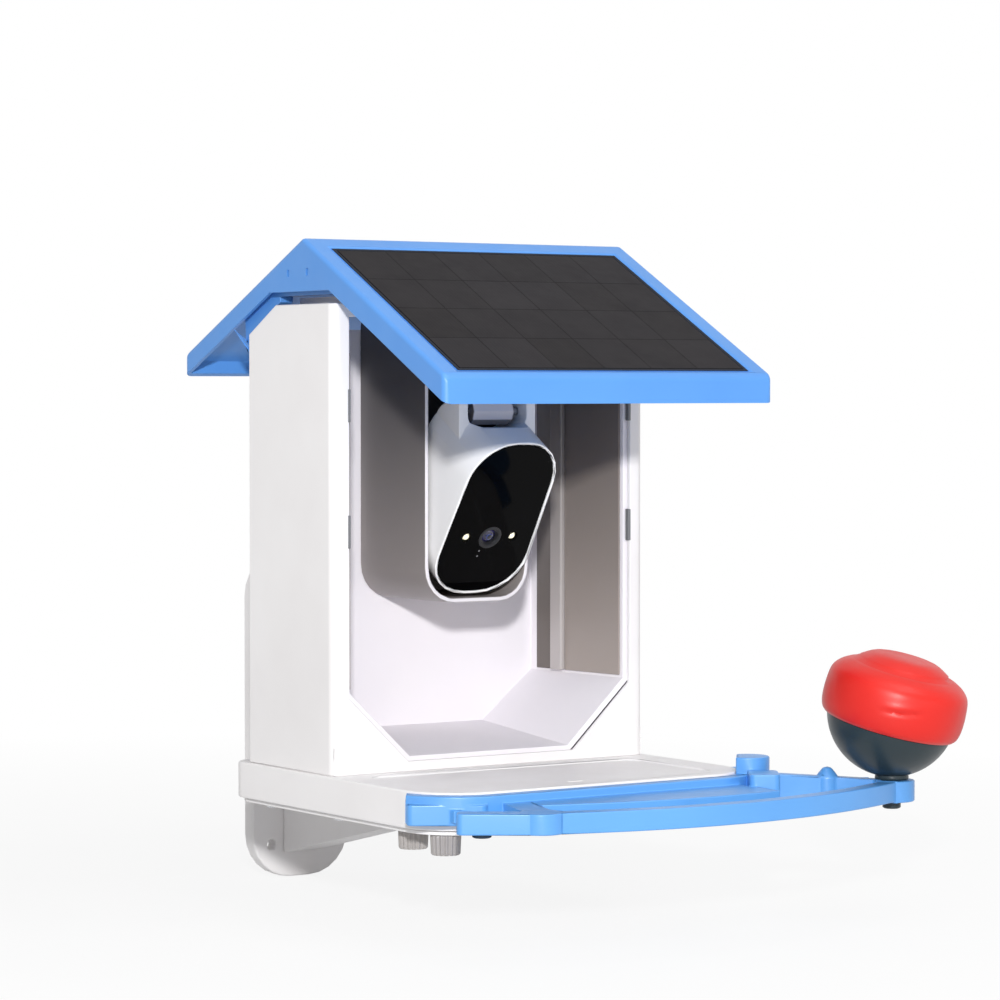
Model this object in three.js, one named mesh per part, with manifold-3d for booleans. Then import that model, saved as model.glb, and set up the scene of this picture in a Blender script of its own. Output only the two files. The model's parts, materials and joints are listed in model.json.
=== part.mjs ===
// Bird feeder with a camera, a solar roof, a perch and a treat cup, hung on a wall bracket.
// Millimetres, +Z up, front towards -Y. The house front is at y = 0 and the tray deck at z = 0;
// the last lines move the origin to the middle of the bracket plate's back face.
import * as THREE from 'three';
import { mergeVertices } from 'three/addons/utils/BufferGeometryUtils.js';
import Module from 'manifold-3d';

const wasm = await Module();
wasm.setup();

// Shared clearances and counts
const seamGap = 0.3;
const cutOverrun = 1;
const embed = 1;
const arcSteps = 3;
const roundSteps = 18;
const smallRoundSteps = 5;
const postSteps = 9;
const smallTurnSteps = 12;
const degree = Math.PI / 180;

// House shell
const houseWidth = 186;
const houseDepth = 80;
const houseWall = 2.6;
const sideWallHeight = 228.5;
const chamferRun = 26;
const chamferDrop = 14;
const houseCornerRadius = 5;
const bossDepth = 10;
const bossClearance = 1.2;
const lowBossHeight = 14;
const highBossLength = 16;
const highBossDrop = 30;

// Front opening
const frontBorder = 9;
const openingSill = 5;
const headBar = 6.5;
const openingCornerRun = 34.5;
const openingCornerRise = 32.5;

// Feeding bay
const bayWall = 2;
const bayLipInset = 2.2;
const bayFlange = 3;
const bayFlangeThickness = 1.6;
const bayDraft = 7;
const bayFloorRise = 7.4;
const bayBackRun = 31;
const bayBackRise = 25.6;
const bayTopRise = 3.5;
const panelThickness = 1;
const panelInset = 2;
const panelFrontLength = 42;
const postLength = 9;
const postThickness = 3.5;
const panelRearLength = 13;
const panelBottomGap = 1;
const panelTopDrop = 24;

// Camera pocket
const pocketWidth = 62;
const pocketWall = 2.2;
const pocketTopDrop = 4;
const pocketFrontY = 14.2;
const pocketLowRadius = 17.5;
const pocketHighRadius = 6;
const shelfThickness = 3;
const shelfRise = 12;
const shelfSetback = 5;

// Camera
const glassTilt = 32.5 * degree;
const glassCentreY = -3.5;
const glassCentreZ = 122.6;
const glassWidth = 50.8;
const glassLength = 87.2;
const glassCornerRadius = 22;
const glassThickness = 2;
const bezelWidth = 1.5;
const bezelProud = 0.4;
const pivotY = 6;
const pivotZ = 176;
const notchBelowPivot = 8;
const earTopRise = 5;
const earHalfWidth = 23.5;
const earFrontY = -4;
const earBackY = 20;
const earBackRadius = 15;
const notchWidth = 36;
const notchCornerRadius = 6;
const cameraBackY = 28;
const cameraWall = 2.2;
const swingGap = 0.4;
const gasketThickness = 0.8;
const gasketWidth = 2.5;
const frontWebThickness = 1.4;
const tiltPinRadius = 2;
const tiltPinLength = 43.8;
const lugRadius = 7;
const lensDrop = 11.2;
const lensBarrelRadius = 5;
const lensBoreRadius = 4;
const lensBoreDepth = 2;
const lensDomeHeight = 1;
const ledRadius = 2.2;
const ledSpacing = 27.3;
const ledSetback = 1.4;
const boardThickness = 1.6;
const boardWidth = 38;
const boardLength = 46;
const boardStandoff = 3.6;

// Camera rear cover and what it holds
const coverWidth = 42;
const coverBottomRise = 13;
const coverHeight = 64;
const coverDepth = 22;
const coverWall = 2;
const coverRadius = 12;
const coverFlangeInset = 0.5;
const batteryWidth = 32;
const batteryFloorGap = 6.5;
const batteryTopGap = 4;
const buttonRadius = 3;
const buttonProud = 1;
const buttonFlange = 1;
const buttonX = 5;
const portX = -7.5;
const portLength = 9;
const portWidth = 3.2;
const portDepth = 4;
const portWall = 0.6;

// Tray, base plate and the screws that hold the house down
const trayMargin = 2.5;
const trayBackMargin = 16;
const trayReach = 95;
const trayHeight = 18;
const trayWall = 3;
const deckThickness = 3;
const trayFrontRadius = 30;
const trayBackRadius = 12;
const dishInset = 16;
const dishDepth = 1.2;
const dishSetback = 8;
const drainLength = 9;
const drainWidth = 3.5;
const drainSetback = 23;
const basePlateThickness = 2;
const basePlateInset = 3;
const trayBossRadius = 4.5;

// Screws
const screwRadius = 1.5;
const screwHeadRadius = 3;
const screwHeadHeight = 1.8;
const baseScrewReach = 10;
const backScrewReach = 7;

// Perch
const perchDrop = 14.5;
const perchTopDrop = 4.8;
const bandTopDrop = 1;
const bandWidth = 8;
const bandEndInset = 31;
const railReach = 165;
const railRadius = 263;
const railCentreX = 27;
const railWidth = 9;
const railSteps = 9;
const ledgeRadius = 264.3;
const ledgeCentreX = 42.2;
const ledgeBehindRail = 29.8;
const ledgeReach = railReach - ledgeBehindRail;
const ledgeStartX = -52;
const ledgeEndX = 76;
const slantAngle = -34 * degree;
const bandCutShare = 0.423;
const slabCornerRadius = 3;
const slabWidth = 12;
const nearSlab = { x: -105, y: -84, length: 37.5 };
const tabSlabBehindRail = 39;
const tabSlab = { x: -105, y: tabSlabBehindRail - railReach, length: 36 };
const tabBossBehindRail = 25;
const tabBoss = { x: -68, y: tabBossBehindRail - railReach, radius: 10.6 };
const tabWebWidth = 14;
const tabWebX = -54;
const stopBoss = { x: 92.5, y: -87, radius: 10.5, rise: 6.9 };
const stopSlabBehindRail = 52.2;
const stopSlab = { x: 73.3, y: stopSlabBehindRail - railReach, length: 15, width: 22, rise: 1 };
const linkWidth = 8;
const linkStartX = 98.6;
const linkStartY = -97.2;
const cupBossBehindRail = 37.6;
const cupBoss = { x: 150.3, y: cupBossBehindRail - railReach, radius: 11.2 };
const cupBossTopDrop = 4.6;
const cupBossProud = 0.6;
const nubX = 122.6;
const nubAlongLink = (nubX - linkStartX) / (cupBoss.x - linkStartX);
const nubPost = { x: nubX, y: linkStartY + (cupBoss.y - linkStartY) * nubAlongLink, radius: 5.6 };
const nubTop = 2;
const nubWaistRadius = 4.2;

// Perch tongues and thumbscrews
const tongueCentreInset = 13.7;
const tongueWidth = 18;
const tongueThickness = 6;
const tongueDeckGap = 4;
const tongueEndY = -36;
const tongueSideGap = 0.6;
const thumbscrewYs = [-50, -78];
const thumbRadius = 7.4;
const thumbTaper = 0.7;
const thumbHeight = 9.5;
const thumbShaftRadius = 2.4;
const thumbFlutes = 18;
const thumbFluteDepth = 0.5;
const plugAlongSlab = 11.5;
const plugRadius = 4.5;
const plugHeadHeight = 1.4;
const plugShaftRadius = 2.4;
const plugShaftLength = 7;

// Treat cup: heights in the curves are measured from the middle of the ball
const cupRadius = 31.8;
const cupWall = 2.2;
const cupCentreHeight = 33.2;
const cupTilt = 15.2 * degree;
const cupHeading = 32.7 * degree;
const cupSteps = 36;
const cupArcSteps = 9;
const cupFootRadius = 8.3;
const cupRimRadius = 29.9;
const cupRimInnerRadius = 28;
const cupStepDrop = 6.8;
const studRadius = 2.6;
const studReach = 2.4;
const nutRadius = 4.5;
const nutHeight = 3.4;
const nutFloor = 0.8;
const nutEdge = 0.7;
const lidInnerRadius = 30.7;
const lidOuterCurve = [
  [32.6, -6.5], [34.2, -4.5], [35.2, 0], [35.3, 7], [34.3, 14.5], [31.4, 18.5], [27.5, 21], [25, 22],
  [22.5, 22], [22.2, 24], [16, 27.4], [0, 28.5],
];
const lidInnerCurve = [
  [0, 26.3], [15, 25.3], [20.4, 22.6], [24.6, 19.9], [29.6, 17.2], [32.3, 13.6], [33.1, 7], [33, 0.5],
];

// Roof
const gableClearance = 0.4;
const gableWall = 2.2;
const ridgeSetback = 24.2;
const ridgeRise = 32.2;
const roofFrontRun = 126.2;
const roofFrontFall = 67.2;
const roofBackRun = 117.1;
const roofBackFall = 56.1;
const frontFascia = 13.2;
const backFascia = 11;
const fasciaWall = 3;
const skinThickness = 4.2;
const gableFlatRise = 6;
const ribWidth = 7.5;
const ribSideGap = 0.5;
const ribFrontSetback = 6;
const ribChamferGap = 0.8;
const knuckleRadius = 4.2;
const hingeDrop = 5.5;
const hingePinRadius = 2;
const pinEndInset = 0.5;
const earWidth = 7;
const earRadius = 4.2;

// Solar panel, in the front slope
const solarWidth = 165;
const solarLength = 122;
const solarTopMargin = 13;
const solarRecess = 2.6;
const solarThickness = 2;
const solarSealWidth = 2;
const junctionWidth = 34;
const junctionLength = 14;
const junctionHeight = 8;
const junctionBelowRidge = 3;

// Wall bracket
const bracketStandoff = 106;
const plateWidth = 60;
const plateHeight = 176;
const plateThickness = 9;
const plateCornerRadius = 24;
const plateDrop = 76;
const wallHoleRadius = 2.6;
const wallHoleSideInset = 12;
const wallHoleEndInset = 18;
const armWidth = 22;
const armRootHeight = 42;
const armNoseHeight = 3.5;
const armNoseY = 18;
const armFlange = 3;
const armScrewYs = [32, 70];
const armScrewReach = 12;
const plateScrewShares = [0.3, 0.72];
const plateScrewReach = 14;
const counterboreDepth = 3;

// Places worked out from the sizes above
const houseHalf = houseWidth / 2;
const openingHalf = houseHalf - frontBorder;
const openingTop = sideWallHeight - headBar;
const bayFrontY = houseWall + seamGap;
const bayBackY = houseDepth - houseWall - seamGap - bayWall;
const bayFrontHalf = openingHalf - bayLipInset;
const bayBackHalf = bayFrontHalf - bayDraft;
const baySillZ = openingSill + bayLipInset;
const bayTop = sideWallHeight + bayTopRise;
const panelBackZ = sideWallHeight - chamferDrop;
const pocketTop = sideWallHeight - pocketTopDrop;
const pocketBackY = bayBackY - seamGap;
const cameraHalf = glassWidth / 2 + bezelWidth;
const earTop = pivotZ + earTopRise;
const notchFloor = pivotZ - notchBelowPivot;
const bezelReach = glassLength / 2 + bezelWidth;
const bezelLowY = glassCentreY + bezelReach * Math.sin(glassTilt);
const bezelLowZ = glassCentreZ - bezelReach * Math.cos(glassTilt);
const swingRadius = Math.hypot(bezelLowY - pivotY, bezelLowZ - pivotZ);
const cameraBottom = pivotZ - swingRadius;
const pocketBottom = cameraBottom - swingGap - pocketWall;
const glassSeat = bezelProud + glassThickness + gasketThickness + 2 * seamGap;
const boardFront = glassSeat + frontWebThickness + boardStandoff;
const coverFrontY = cameraBackY + seamGap;
const coverBottom = cameraBottom + coverBottomRise;
const trayHalf = houseHalf + trayMargin;
const trayBackY = houseDepth + trayBackMargin;
const basePlateTop = -trayHeight - seamGap;
const basePlateBottom = basePlateTop - basePlateThickness;
const hingeY = houseDepth + seamGap + knuckleRadius;
const hingeZ = panelBackZ - hingeDrop;
const ribOuter = houseHalf - houseWall - ribSideGap;
const ribInner = ribOuter - ribWidth;
const ridgeZ = sideWallHeight + ridgeRise;
const frontEaveY = ridgeSetback - roofFrontRun;
const backEaveY = ridgeSetback + roofBackRun;
const frontEaveZ = ridgeZ - roofFrontFall;
const backEaveZ = ridgeZ - roofBackFall;
const frontPitch = roofFrontFall / roofFrontRun;
const backPitch = roofBackFall / roofBackRun;
const roofHalf = houseHalf + gableClearance + gableWall;
const railCentreY = railRadius - railReach;
const ledgeCentreY = ledgeRadius - ledgeReach;
const tongueX = houseHalf - tongueCentreInset;
const tongueTop = -deckThickness - tongueDeckGap;
const plateFrontY = houseDepth + bracketStandoff;
const plateBackY = plateFrontY + plateThickness;
const plateCentreZ = plateHeight / 2 - plateDrop;
const armTop = basePlateBottom - seamGap;
const bossOuter = houseHalf - houseWall;
const backBossY = houseDepth - houseWall - seamGap;

// Colours and finishes
function paint(color, roughness, metalness = 0) {
  return new THREE.MeshStandardMaterial({ color, roughness, metalness });
}
const whitePlastic = paint(0xe9e7e6, 0.42);
const bayPlastic = paint(0xdcd8e2, 0.5);
const smokedPlastic = paint(0x3c3936, 0.3);
const bluePlastic = paint(0x66a6ee, 0.4);
const perchPlastic = paint(0x6fb0f4, 0.4);
const solarBlack = paint(0x262325, 0.25);
const sealBlack = paint(0x14161c, 0.6);
const blackGlass = paint(0x08080a, 0.08);
const lensGlass = paint(0x1a1f45, 0.05);
const ledClear = paint(0xf4f2e6, 0.2);
const boardGreen = paint(0x1f5a3a, 0.5);
const batteryBlue = paint(0x39527a, 0.5);
const darkPlastic = paint(0x3d4a4e, 0.5);
const redPlastic = paint(0xe5352a, 0.45);
const greyPlastic = paint(0x807b78, 0.5);
const rubberGrey = paint(0x3a3b3e, 0.8);
const steel = paint(0xb9bcc0, 0.3, 1);

// Solids: a closed mesh with merged corners goes in, and comes back as a geometry
function solid(geometry) {
  const bare = geometry.clone();
  bare.deleteAttribute('normal');
  bare.deleteAttribute('uv');
  const merged = mergeVertices(bare);
  const corners = merged.index.array;
  const kept = [];
  for (let i = 0; i < corners.length; i += 3) {
    const [a, b, c] = corners.slice(i, i + 3);
    if (a !== b && b !== c && c !== a) {
      kept.push(a, b, c);
    }
  }
  return new wasm.Manifold(new wasm.Mesh({
    numProp: 3,
    vertProperties: merged.attributes.position.array,
    triVerts: new Uint32Array(kept),
  }));
}

function geometryOf(body) {
  const mesh = body.getMesh();
  const geometry = new THREE.BufferGeometry();
  geometry.setAttribute('position', new THREE.BufferAttribute(mesh.vertProperties, 3));
  geometry.setIndex(new THREE.BufferAttribute(mesh.triVerts, 1));
  geometry.computeVertexNormals();
  return geometry;
}

function joined(...bodies) {
  return bodies.reduce((sum, body) => sum.add(body));
}

function without(body, ...tools) {
  return tools.reduce((rest, tool) => rest.subtract(tool), body);
}

// Extrusions: a shape drawn in (y, z) runs along x, in (x, z) along y, and in (x, y) along z
function extruded(shape, depth, steps) {
  return new THREE.ExtrudeGeometry(shape, { depth, bevelEnabled: false, curveSegments: steps });
}

const axisX = new THREE.Vector3(1, 0, 0);
const axisY = new THREE.Vector3(0, 1, 0);
const axisZ = new THREE.Vector3(0, 0, 1);
const yzToX = new THREE.Matrix4().makeBasis(axisY, axisZ, axisX);
const xzToY = new THREE.Matrix4().makeBasis(axisX, axisZ, axisY.clone().negate());

function alongX(shape, fromX, toX, steps = arcSteps) {
  return extruded(shape, toX - fromX, steps).applyMatrix4(yzToX).translate(fromX, 0, 0);
}

function alongY(shape, fromY, toY, steps = arcSteps) {
  return extruded(shape, toY - fromY, steps).applyMatrix4(xzToY).translate(0, toY, 0);
}

function alongZ(shape, fromZ, toZ, steps = arcSteps) {
  return extruded(shape, toZ - fromZ, steps).translate(0, 0, fromZ);
}

function block(x0, x1, y0, y1, z0, z1) {
  const geometry = new THREE.BoxGeometry(x1 - x0, y1 - y0, z1 - z0);
  return geometry.translate((x0 + x1) / 2, (y0 + y1) / 2, (z0 + z1) / 2);
}

function outline(points) {
  return new THREE.Shape(points.map(([u, v]) => new THREE.Vector2(u, v)));
}

function disc(radius, u = 0, v = 0) {
  const shape = new THREE.Shape();
  shape.absarc(u, v, radius, 0, 2 * Math.PI, false);
  return shape;
}

// A rounded rectangle whose two low corners and two high corners have radii of their own
function roundedBox(u0, u1, v0, v1, lowRadius, highRadius) {
  const shape = new THREE.Shape();
  const quarter = Math.PI / 2;
  shape.absarc(u0 + lowRadius, v0 + lowRadius, lowRadius, 2 * quarter, 3 * quarter, false);
  shape.absarc(u1 - lowRadius, v0 + lowRadius, lowRadius, 3 * quarter, 4 * quarter, false);
  shape.absarc(u1 - highRadius, v1 - highRadius, highRadius, 0, quarter, false);
  shape.absarc(u0 + highRadius, v1 - highRadius, highRadius, quarter, 2 * quarter, false);
  return shape;
}

function rodX(radius, fromX, toX, y, z) {
  return alongX(disc(radius, y, z), fromX, toX, smallRoundSteps);
}

function rodY(radius, fromY, toY, x, z) {
  return alongY(disc(radius, x, z), fromY, toY, smallRoundSteps);
}

function rodZ(radius, fromZ, toZ, x, y) {
  return alongZ(disc(radius, x, y), fromZ, toZ, smallRoundSteps);
}

// A turned piece: [radius, height] points turned round z
function turned(points, steps = roundSteps) {
  const profile = points.map(([radius, height]) => new THREE.Vector2(radius, height));
  return new THREE.LatheGeometry(profile, steps).rotateX(Math.PI / 2);
}

// A solid between two outlines of equal count, drawn in (x, z) at two depths
function lofted(front, frontY, back, backY) {
  const count = front.length;
  const points = [];
  front.forEach(([x, z]) => points.push(x, frontY, z));
  back.forEach(([x, z]) => points.push(x, backY, z));
  const faces = [];
  const flat = front.map(([x, z]) => new THREE.Vector2(x, z));
  const outwards = THREE.ShapeUtils.isClockWise(flat) ? -1 : 1;
  const push = (a, b, c) => (outwards > 0 ? faces.push(a, b, c) : faces.push(a, c, b));
  THREE.ShapeUtils.triangulateShape(flat, []).forEach(([a, b, c]) => {
    push(a, b, c);
    push(count + a, count + c, count + b);
  });
  for (let i = 0; i < count; i += 1) {
    const j = (i + 1) % count;
    push(i, count + i, j);
    push(j, count + i, count + j);
  }
  const geometry = new THREE.BufferGeometry();
  geometry.setAttribute('position', new THREE.Float32BufferAttribute(points, 3));
  geometry.setIndex(faces);
  return geometry;
}

function piece(name, geometry, material) {
  const mesh = new THREE.Mesh(geometry, material);
  mesh.name = name;
  return mesh;
}

function groupOf(...children) {
  const group = new THREE.Group();
  group.add(...children);
  return group;
}

// A pan head screw that points along +z, with the underside of its head at z = 0
function screwGeometry(reach) {
  return turned([
    [0, -screwHeadHeight],
    [screwHeadRadius, -screwHeadHeight],
    [screwHeadRadius, 0],
    [screwRadius, 0],
    [screwRadius, reach],
    [0, reach],
  ], smallTurnSteps);
}

const screwHole = screwRadius + seamGap;
const sides = [['left', -1], ['right', 1]];

// Where the chamfer cuts the back top corner of the walls
function chamferCut(halfWidth) {
  const fall = chamferDrop / chamferRun;
  const lowY = houseDepth + cutOverrun;
  const top = bayTop + chamferDrop;
  return solid(alongX(outline([
    [houseDepth - chamferRun, sideWallHeight],
    [lowY, sideWallHeight - chamferDrop - cutOverrun * fall],
    [lowY, top],
    [houseDepth - chamferRun, top],
  ]), -halfWidth, halfWidth));
}

// The eight-sided outline of the bay and the opening, grown outwards by an offset
function bayOutline(half, sill, run, rise, top, offset) {
  const slant = Math.hypot(run, rise);
  const cornerZ = sill + rise - offset * (slant - rise) / run;
  const cornerX = half - run + offset * (slant - run) / rise;
  return [
    [-half - offset, top],
    [-half - offset, cornerZ],
    [-cornerX, sill - offset],
    [cornerX, sill - offset],
    [half + offset, cornerZ],
    [half + offset, top],
  ];
}

function bayFrontOutline(top, offset) {
  return bayOutline(bayFrontHalf, baySillZ, openingCornerRun, openingCornerRise, top, offset);
}

function bayBackOutline(top, offset) {
  return bayOutline(bayBackHalf, baySillZ + bayFloorRise, bayBackRun, bayBackRise, top, offset);
}

function bayHalfAt(y) {
  return bayFrontHalf - bayDraft * (y - bayFrontY) / (bayBackY - bayFrontY);
}

// Screw posts stand in the corners between the bay and the walls
const backBossFrontY = backBossY - bossDepth;
const backBossInner = bayHalfAt(backBossFrontY) + bayWall + bossClearance;
const bossMiddleX = (backBossInner + bossOuter) / 2;
const frontBossMiddleY = houseWall + bossDepth / 2;
const backBossMiddleY = backBossY - bossDepth / 2;
const highBossTop = panelBackZ - highBossDrop + highBossLength;
const highBossZ = highBossTop - highBossLength / 2;
const lowBackScrewZ = lowBossHeight + bossDepth / 2;
const backBossTop = lowBossHeight + bossDepth;

function houseShell() {
  const plan = new THREE.Shape();
  const r = houseCornerRadius;
  plan.moveTo(-houseHalf, houseDepth);
  plan.lineTo(-houseHalf, r);
  plan.absarc(-houseHalf + r, r, r, Math.PI, 1.5 * Math.PI, false);
  plan.absarc(houseHalf - r, r, r, -0.5 * Math.PI, 0, false);
  plan.lineTo(houseHalf, houseDepth);
  plan.lineTo(bossOuter, houseDepth);
  plan.lineTo(bossOuter, houseWall);
  plan.lineTo(-bossOuter, houseWall);
  plan.lineTo(-bossOuter, houseDepth);
  let shell = solid(alongZ(plan, 0, sideWallHeight));
  const opening = outline(
    bayOutline(openingHalf, openingSill, openingCornerRun, openingCornerRise, openingTop, 0));
  const openingCut = solid(alongY(opening, -cutOverrun, houseWall + cutOverrun));
  shell = without(shell, chamferCut(houseWidth), openingCut);
  for (const [, side] of sides) {
    const inner = side * backBossInner;
    const outer = side * (bossOuter + houseWall / 2);
    const [x0, x1] = [Math.min(inner, outer), Math.max(inner, outer)];
    shell = joined(
      shell,
      solid(block(x0, x1, houseWall / 2, houseWall + bossDepth, 0, lowBossHeight)),
      solid(block(x0, x1, backBossFrontY, backBossY, 0, backBossTop)),
      solid(block(x0, x1, backBossFrontY, backBossY, highBossTop - highBossLength, highBossTop)),
    );
    const x = side * bossMiddleX;
    shell = without(
      shell,
      solid(rodZ(screwHole, -cutOverrun, baseScrewReach + embed, x, frontBossMiddleY)),
      solid(rodZ(screwHole, -cutOverrun, baseScrewReach + embed, x, backBossMiddleY)),
      solid(rodY(screwHole, backBossY - backScrewReach, backBossY + cutOverrun, x, lowBackScrewZ)),
      solid(rodY(screwHole, backBossY - backScrewReach, backBossY + cutOverrun, x, highBossZ)),
    );
  }
  return piece('house_shell', geometryOf(shell), whitePlastic);
}

function earRange(side) {
  const outer = ribInner - seamGap;
  return [side * outer, side * (outer - earWidth)].sort((a, b) => a - b);
}

function backPanel() {
  const half = bossOuter - seamGap;
  const frontY = houseDepth - houseWall;
  let panel = solid(block(-half, half, frontY, houseDepth, seamGap, panelBackZ));
  for (const [, side] of sides) {
    const [x0, x1] = earRange(side);
    const ear = joined(
      solid(block(x0, x1, houseDepth - embed, hingeY, hingeZ - earRadius, hingeZ + earRadius)),
      solid(rodX(earRadius, x0, x1, hingeY, hingeZ)),
    );
    panel = without(
      joined(panel, ear),
      solid(rodX(hingePinRadius + seamGap, x0 - cutOverrun, x1 + cutOverrun, hingeY, hingeZ)),
      solid(rodY(screwHole, frontY - cutOverrun, houseDepth + cutOverrun, side * bossMiddleX, lowBackScrewZ)),
      solid(rodY(screwHole, frontY - cutOverrun, houseDepth + cutOverrun, side * bossMiddleX, highBossZ)),
    );
  }
  for (const z of pocketScrewZs) {
    panel = without(panel, solid(rodY(screwHole, frontY - cutOverrun, houseDepth + cutOverrun, 0, z)));
  }
  return piece('back_panel', geometryOf(panel), whitePlastic);
}

function feedingBay() {
  const outer = solid(lofted(
    bayFrontOutline(bayTop, bayWall),
    bayFrontY,
    bayBackOutline(bayTop, bayWall),
    bayBackY + bayWall,
  ));
  const flangePlan = bayFrontOutline(openingTop + bayFlange, bayFlange);
  const flange = solid(lofted(flangePlan, bayFrontY, flangePlan, bayFrontY + bayFlangeThickness));
  const growth = cutOverrun / (bayBackY - bayFrontY);
  const backRoom = bayBackOutline(bayTop + cutOverrun, 0);
  const frontRoom = bayFrontOutline(bayTop + cutOverrun, 0).map(([x, z], i) => {
    const [backX, backZ] = backRoom[i];
    return [x + (x - backX) * growth, z + (z - backZ) * growth];
  });
  const room = solid(lofted(frontRoom, bayFrontY - cutOverrun, backRoom, bayBackY));
  let bay = without(joined(outer, flange), room, chamferCut(houseWidth));
  for (const z of pocketScrewZs) {
    const hole = rodY(screwHole, bayBackY - cutOverrun, bayBackY + bayWall + cutOverrun, 0, z);
    bay = without(bay, solid(hole));
  }
  return piece('feeding_bay', geometryOf(bay), bayPlastic);
}

// The smoked panels and the posts stand on the drafted side walls of the bay
function sidePieces() {
  const lean = Math.atan(bayDraft / (bayBackY - bayFrontY));
  const low = baySillZ + Math.max(openingCornerRise, bayFloorRise + bayBackRise) + panelBottomGap;
  const high = sideWallHeight - panelTopDrop;
  const postStart = panelInset + panelFrontLength + seamGap;
  const rearStart = postStart + postLength + seamGap;
  return sides.map(([label, side]) => {
    const strip = (thickness, start, length) => {
      const [x0, x1] = [-side * seamGap, -side * (seamGap + thickness)].sort((a, b) => a - b);
      return block(x0, x1, start, start + length, low, high);
    };
    const frontPanel = strip(panelThickness, panelInset, panelFrontLength);
    const post = strip(postThickness, postStart, postLength);
    const rearPanel = strip(panelThickness, rearStart, panelRearLength);
    const group = groupOf(
      piece(`side_panel_${label}_front`, frontPanel, smokedPlastic),
      piece(`side_post_${label}`, post, bayPlastic),
      piece(`side_panel_${label}_rear`, rearPanel, smokedPlastic),
    );
    group.position.set(side * bayFrontHalf, bayFrontY, 0);
    group.rotation.z = side * lean;
    return group;
  });
}

const shelfZ = pivotZ + lugRadius + shelfRise - shelfThickness;
const pocketScrewZs = [cameraBottom + coverHeight / 2, pivotZ];

function cameraPocket() {
  const half = pocketWidth / 2;
  const tube = alongY(
    roundedBox(-half, half, pocketBottom, pocketTop, pocketLowRadius, pocketHighRadius),
    pocketFrontY, pocketBackY);
  const roomHalf = half - pocketWall;
  const room = alongY(
    roundedBox(-roomHalf, roomHalf, pocketBottom + pocketWall, pocketTop - pocketWall,
      pocketLowRadius - pocketWall, pocketHighRadius - pocketWall),
    pocketFrontY - cutOverrun, pocketBackY - pocketWall);
  const shelfFrontY = pocketFrontY + shelfSetback;
  const shelfTop = shelfZ + shelfThickness;
  const shelf = block(
    -roomHalf - embed, roomHalf + embed, shelfFrontY, pocketBackY - embed, shelfZ, shelfTop);
  const lugHalf = notchWidth / 2 - notchCornerRadius;
  const neck = alongX(outline([
    [pivotY, pivotZ],
    [pivotY + lugRadius, pivotZ],
    [shelfFrontY + shelfThickness, shelfZ],
    [shelfFrontY + shelfThickness, shelfTop],
    [shelfFrontY, shelfTop],
    [pivotY, pivotZ + lugRadius],
  ]), -lugHalf, lugHalf);
  let pocket = joined(
    without(solid(tube), solid(room)),
    solid(shelf),
    solid(neck),
    solid(rodX(lugRadius, -lugHalf, lugHalf, pivotY, pivotZ)),
  );
  pocket = without(pocket, solid(rodX(tiltPinRadius + seamGap, -half, half, pivotY, pivotZ)));
  for (const z of pocketScrewZs) {
    const hole = rodY(screwHole, pocketBackY - pocketWall - cutOverrun, pocketBackY + cutOverrun, 0, z);
    pocket = without(pocket, solid(hole));
  }
  return piece('camera_pocket', geometryOf(pocket), bayPlastic);
}

// Outlines in the plane of the glass, and how they are laid on its slant
function glassOutline(inset) {
  const half = glassWidth / 2 - inset;
  const reach = glassLength / 2 - inset;
  return roundedBox(-half, half, -reach, reach, glassCornerRadius - inset, glassCornerRadius - inset);
}

function tilted(geometry) {
  return geometry.rotateX(glassTilt).translate(0, glassCentreY, glassCentreZ);
}

// The camera body's side outline: a rounded top at the back, flat at the back below
function bodySide(frontY, backY, low) {
  const side = new THREE.Shape();
  side.moveTo(frontY, low);
  side.lineTo(backY, low);
  side.lineTo(backY, earTop - earBackRadius);
  side.lineTo(earBackY, earTop - earBackRadius);
  side.absarc(earBackY - earBackRadius, earTop - earBackRadius, earBackRadius, 0, Math.PI / 2, false);
  side.lineTo(frontY, earTop);
  return alongX(side, -cameraHalf, cameraHalf);
}

// The round-ended bar of the camera body, square to the glass, from one depth to another
function bodyBar(inset, fromDepth) {
  return solid(tilted(alongY(glassOutline(inset), fromDepth, glassLength)));
}

function cameraHousing() {
  const low = cameraBottom - cutOverrun;
  const farFrontY = -trayReach;
  const ears = solid(block(
    -earHalfWidth, earHalfWidth, earFrontY, earBackY, glassCentreZ + glassWidth / 2, earTop));
  const body = joined(bodyBar(-bezelWidth, 0), ears).intersect(solid(bodySide(farFrontY, cameraBackY, low)));
  const insideTop = notchFloor - cameraWall;
  const inside = bodyBar(cameraWall - bezelWidth, glassSeat + frontWebThickness).intersect(
    solid(block(-cameraHalf, cameraHalf, farFrontY, cameraBackY + cutOverrun, low, insideTop)));
  const notchHalf = notchWidth / 2;
  const notch = alongY(
    roundedBox(-notchHalf, notchHalf, notchFloor, earTop + notchHalf, notchCornerRadius, seamGap),
    farFrontY, cameraBackY + cutOverrun);
  const seat = tilted(alongY(glassOutline(-seamGap), -bezelProud, glassSeat));
  const window = tilted(alongY(
    glassOutline(gasketWidth + seamGap), -cutOverrun, glassSeat + frontWebThickness + cutOverrun));
  const pinHole = rodX(
    tiltPinRadius + seamGap, -tiltPinLength / 2 - seamGap, cameraHalf + cutOverrun, pivotY, pivotZ);
  const housing = without(body, inside, solid(notch), solid(seat), solid(window), solid(pinHole));
  return piece('camera_housing', geometryOf(housing), whitePlastic);
}

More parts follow.
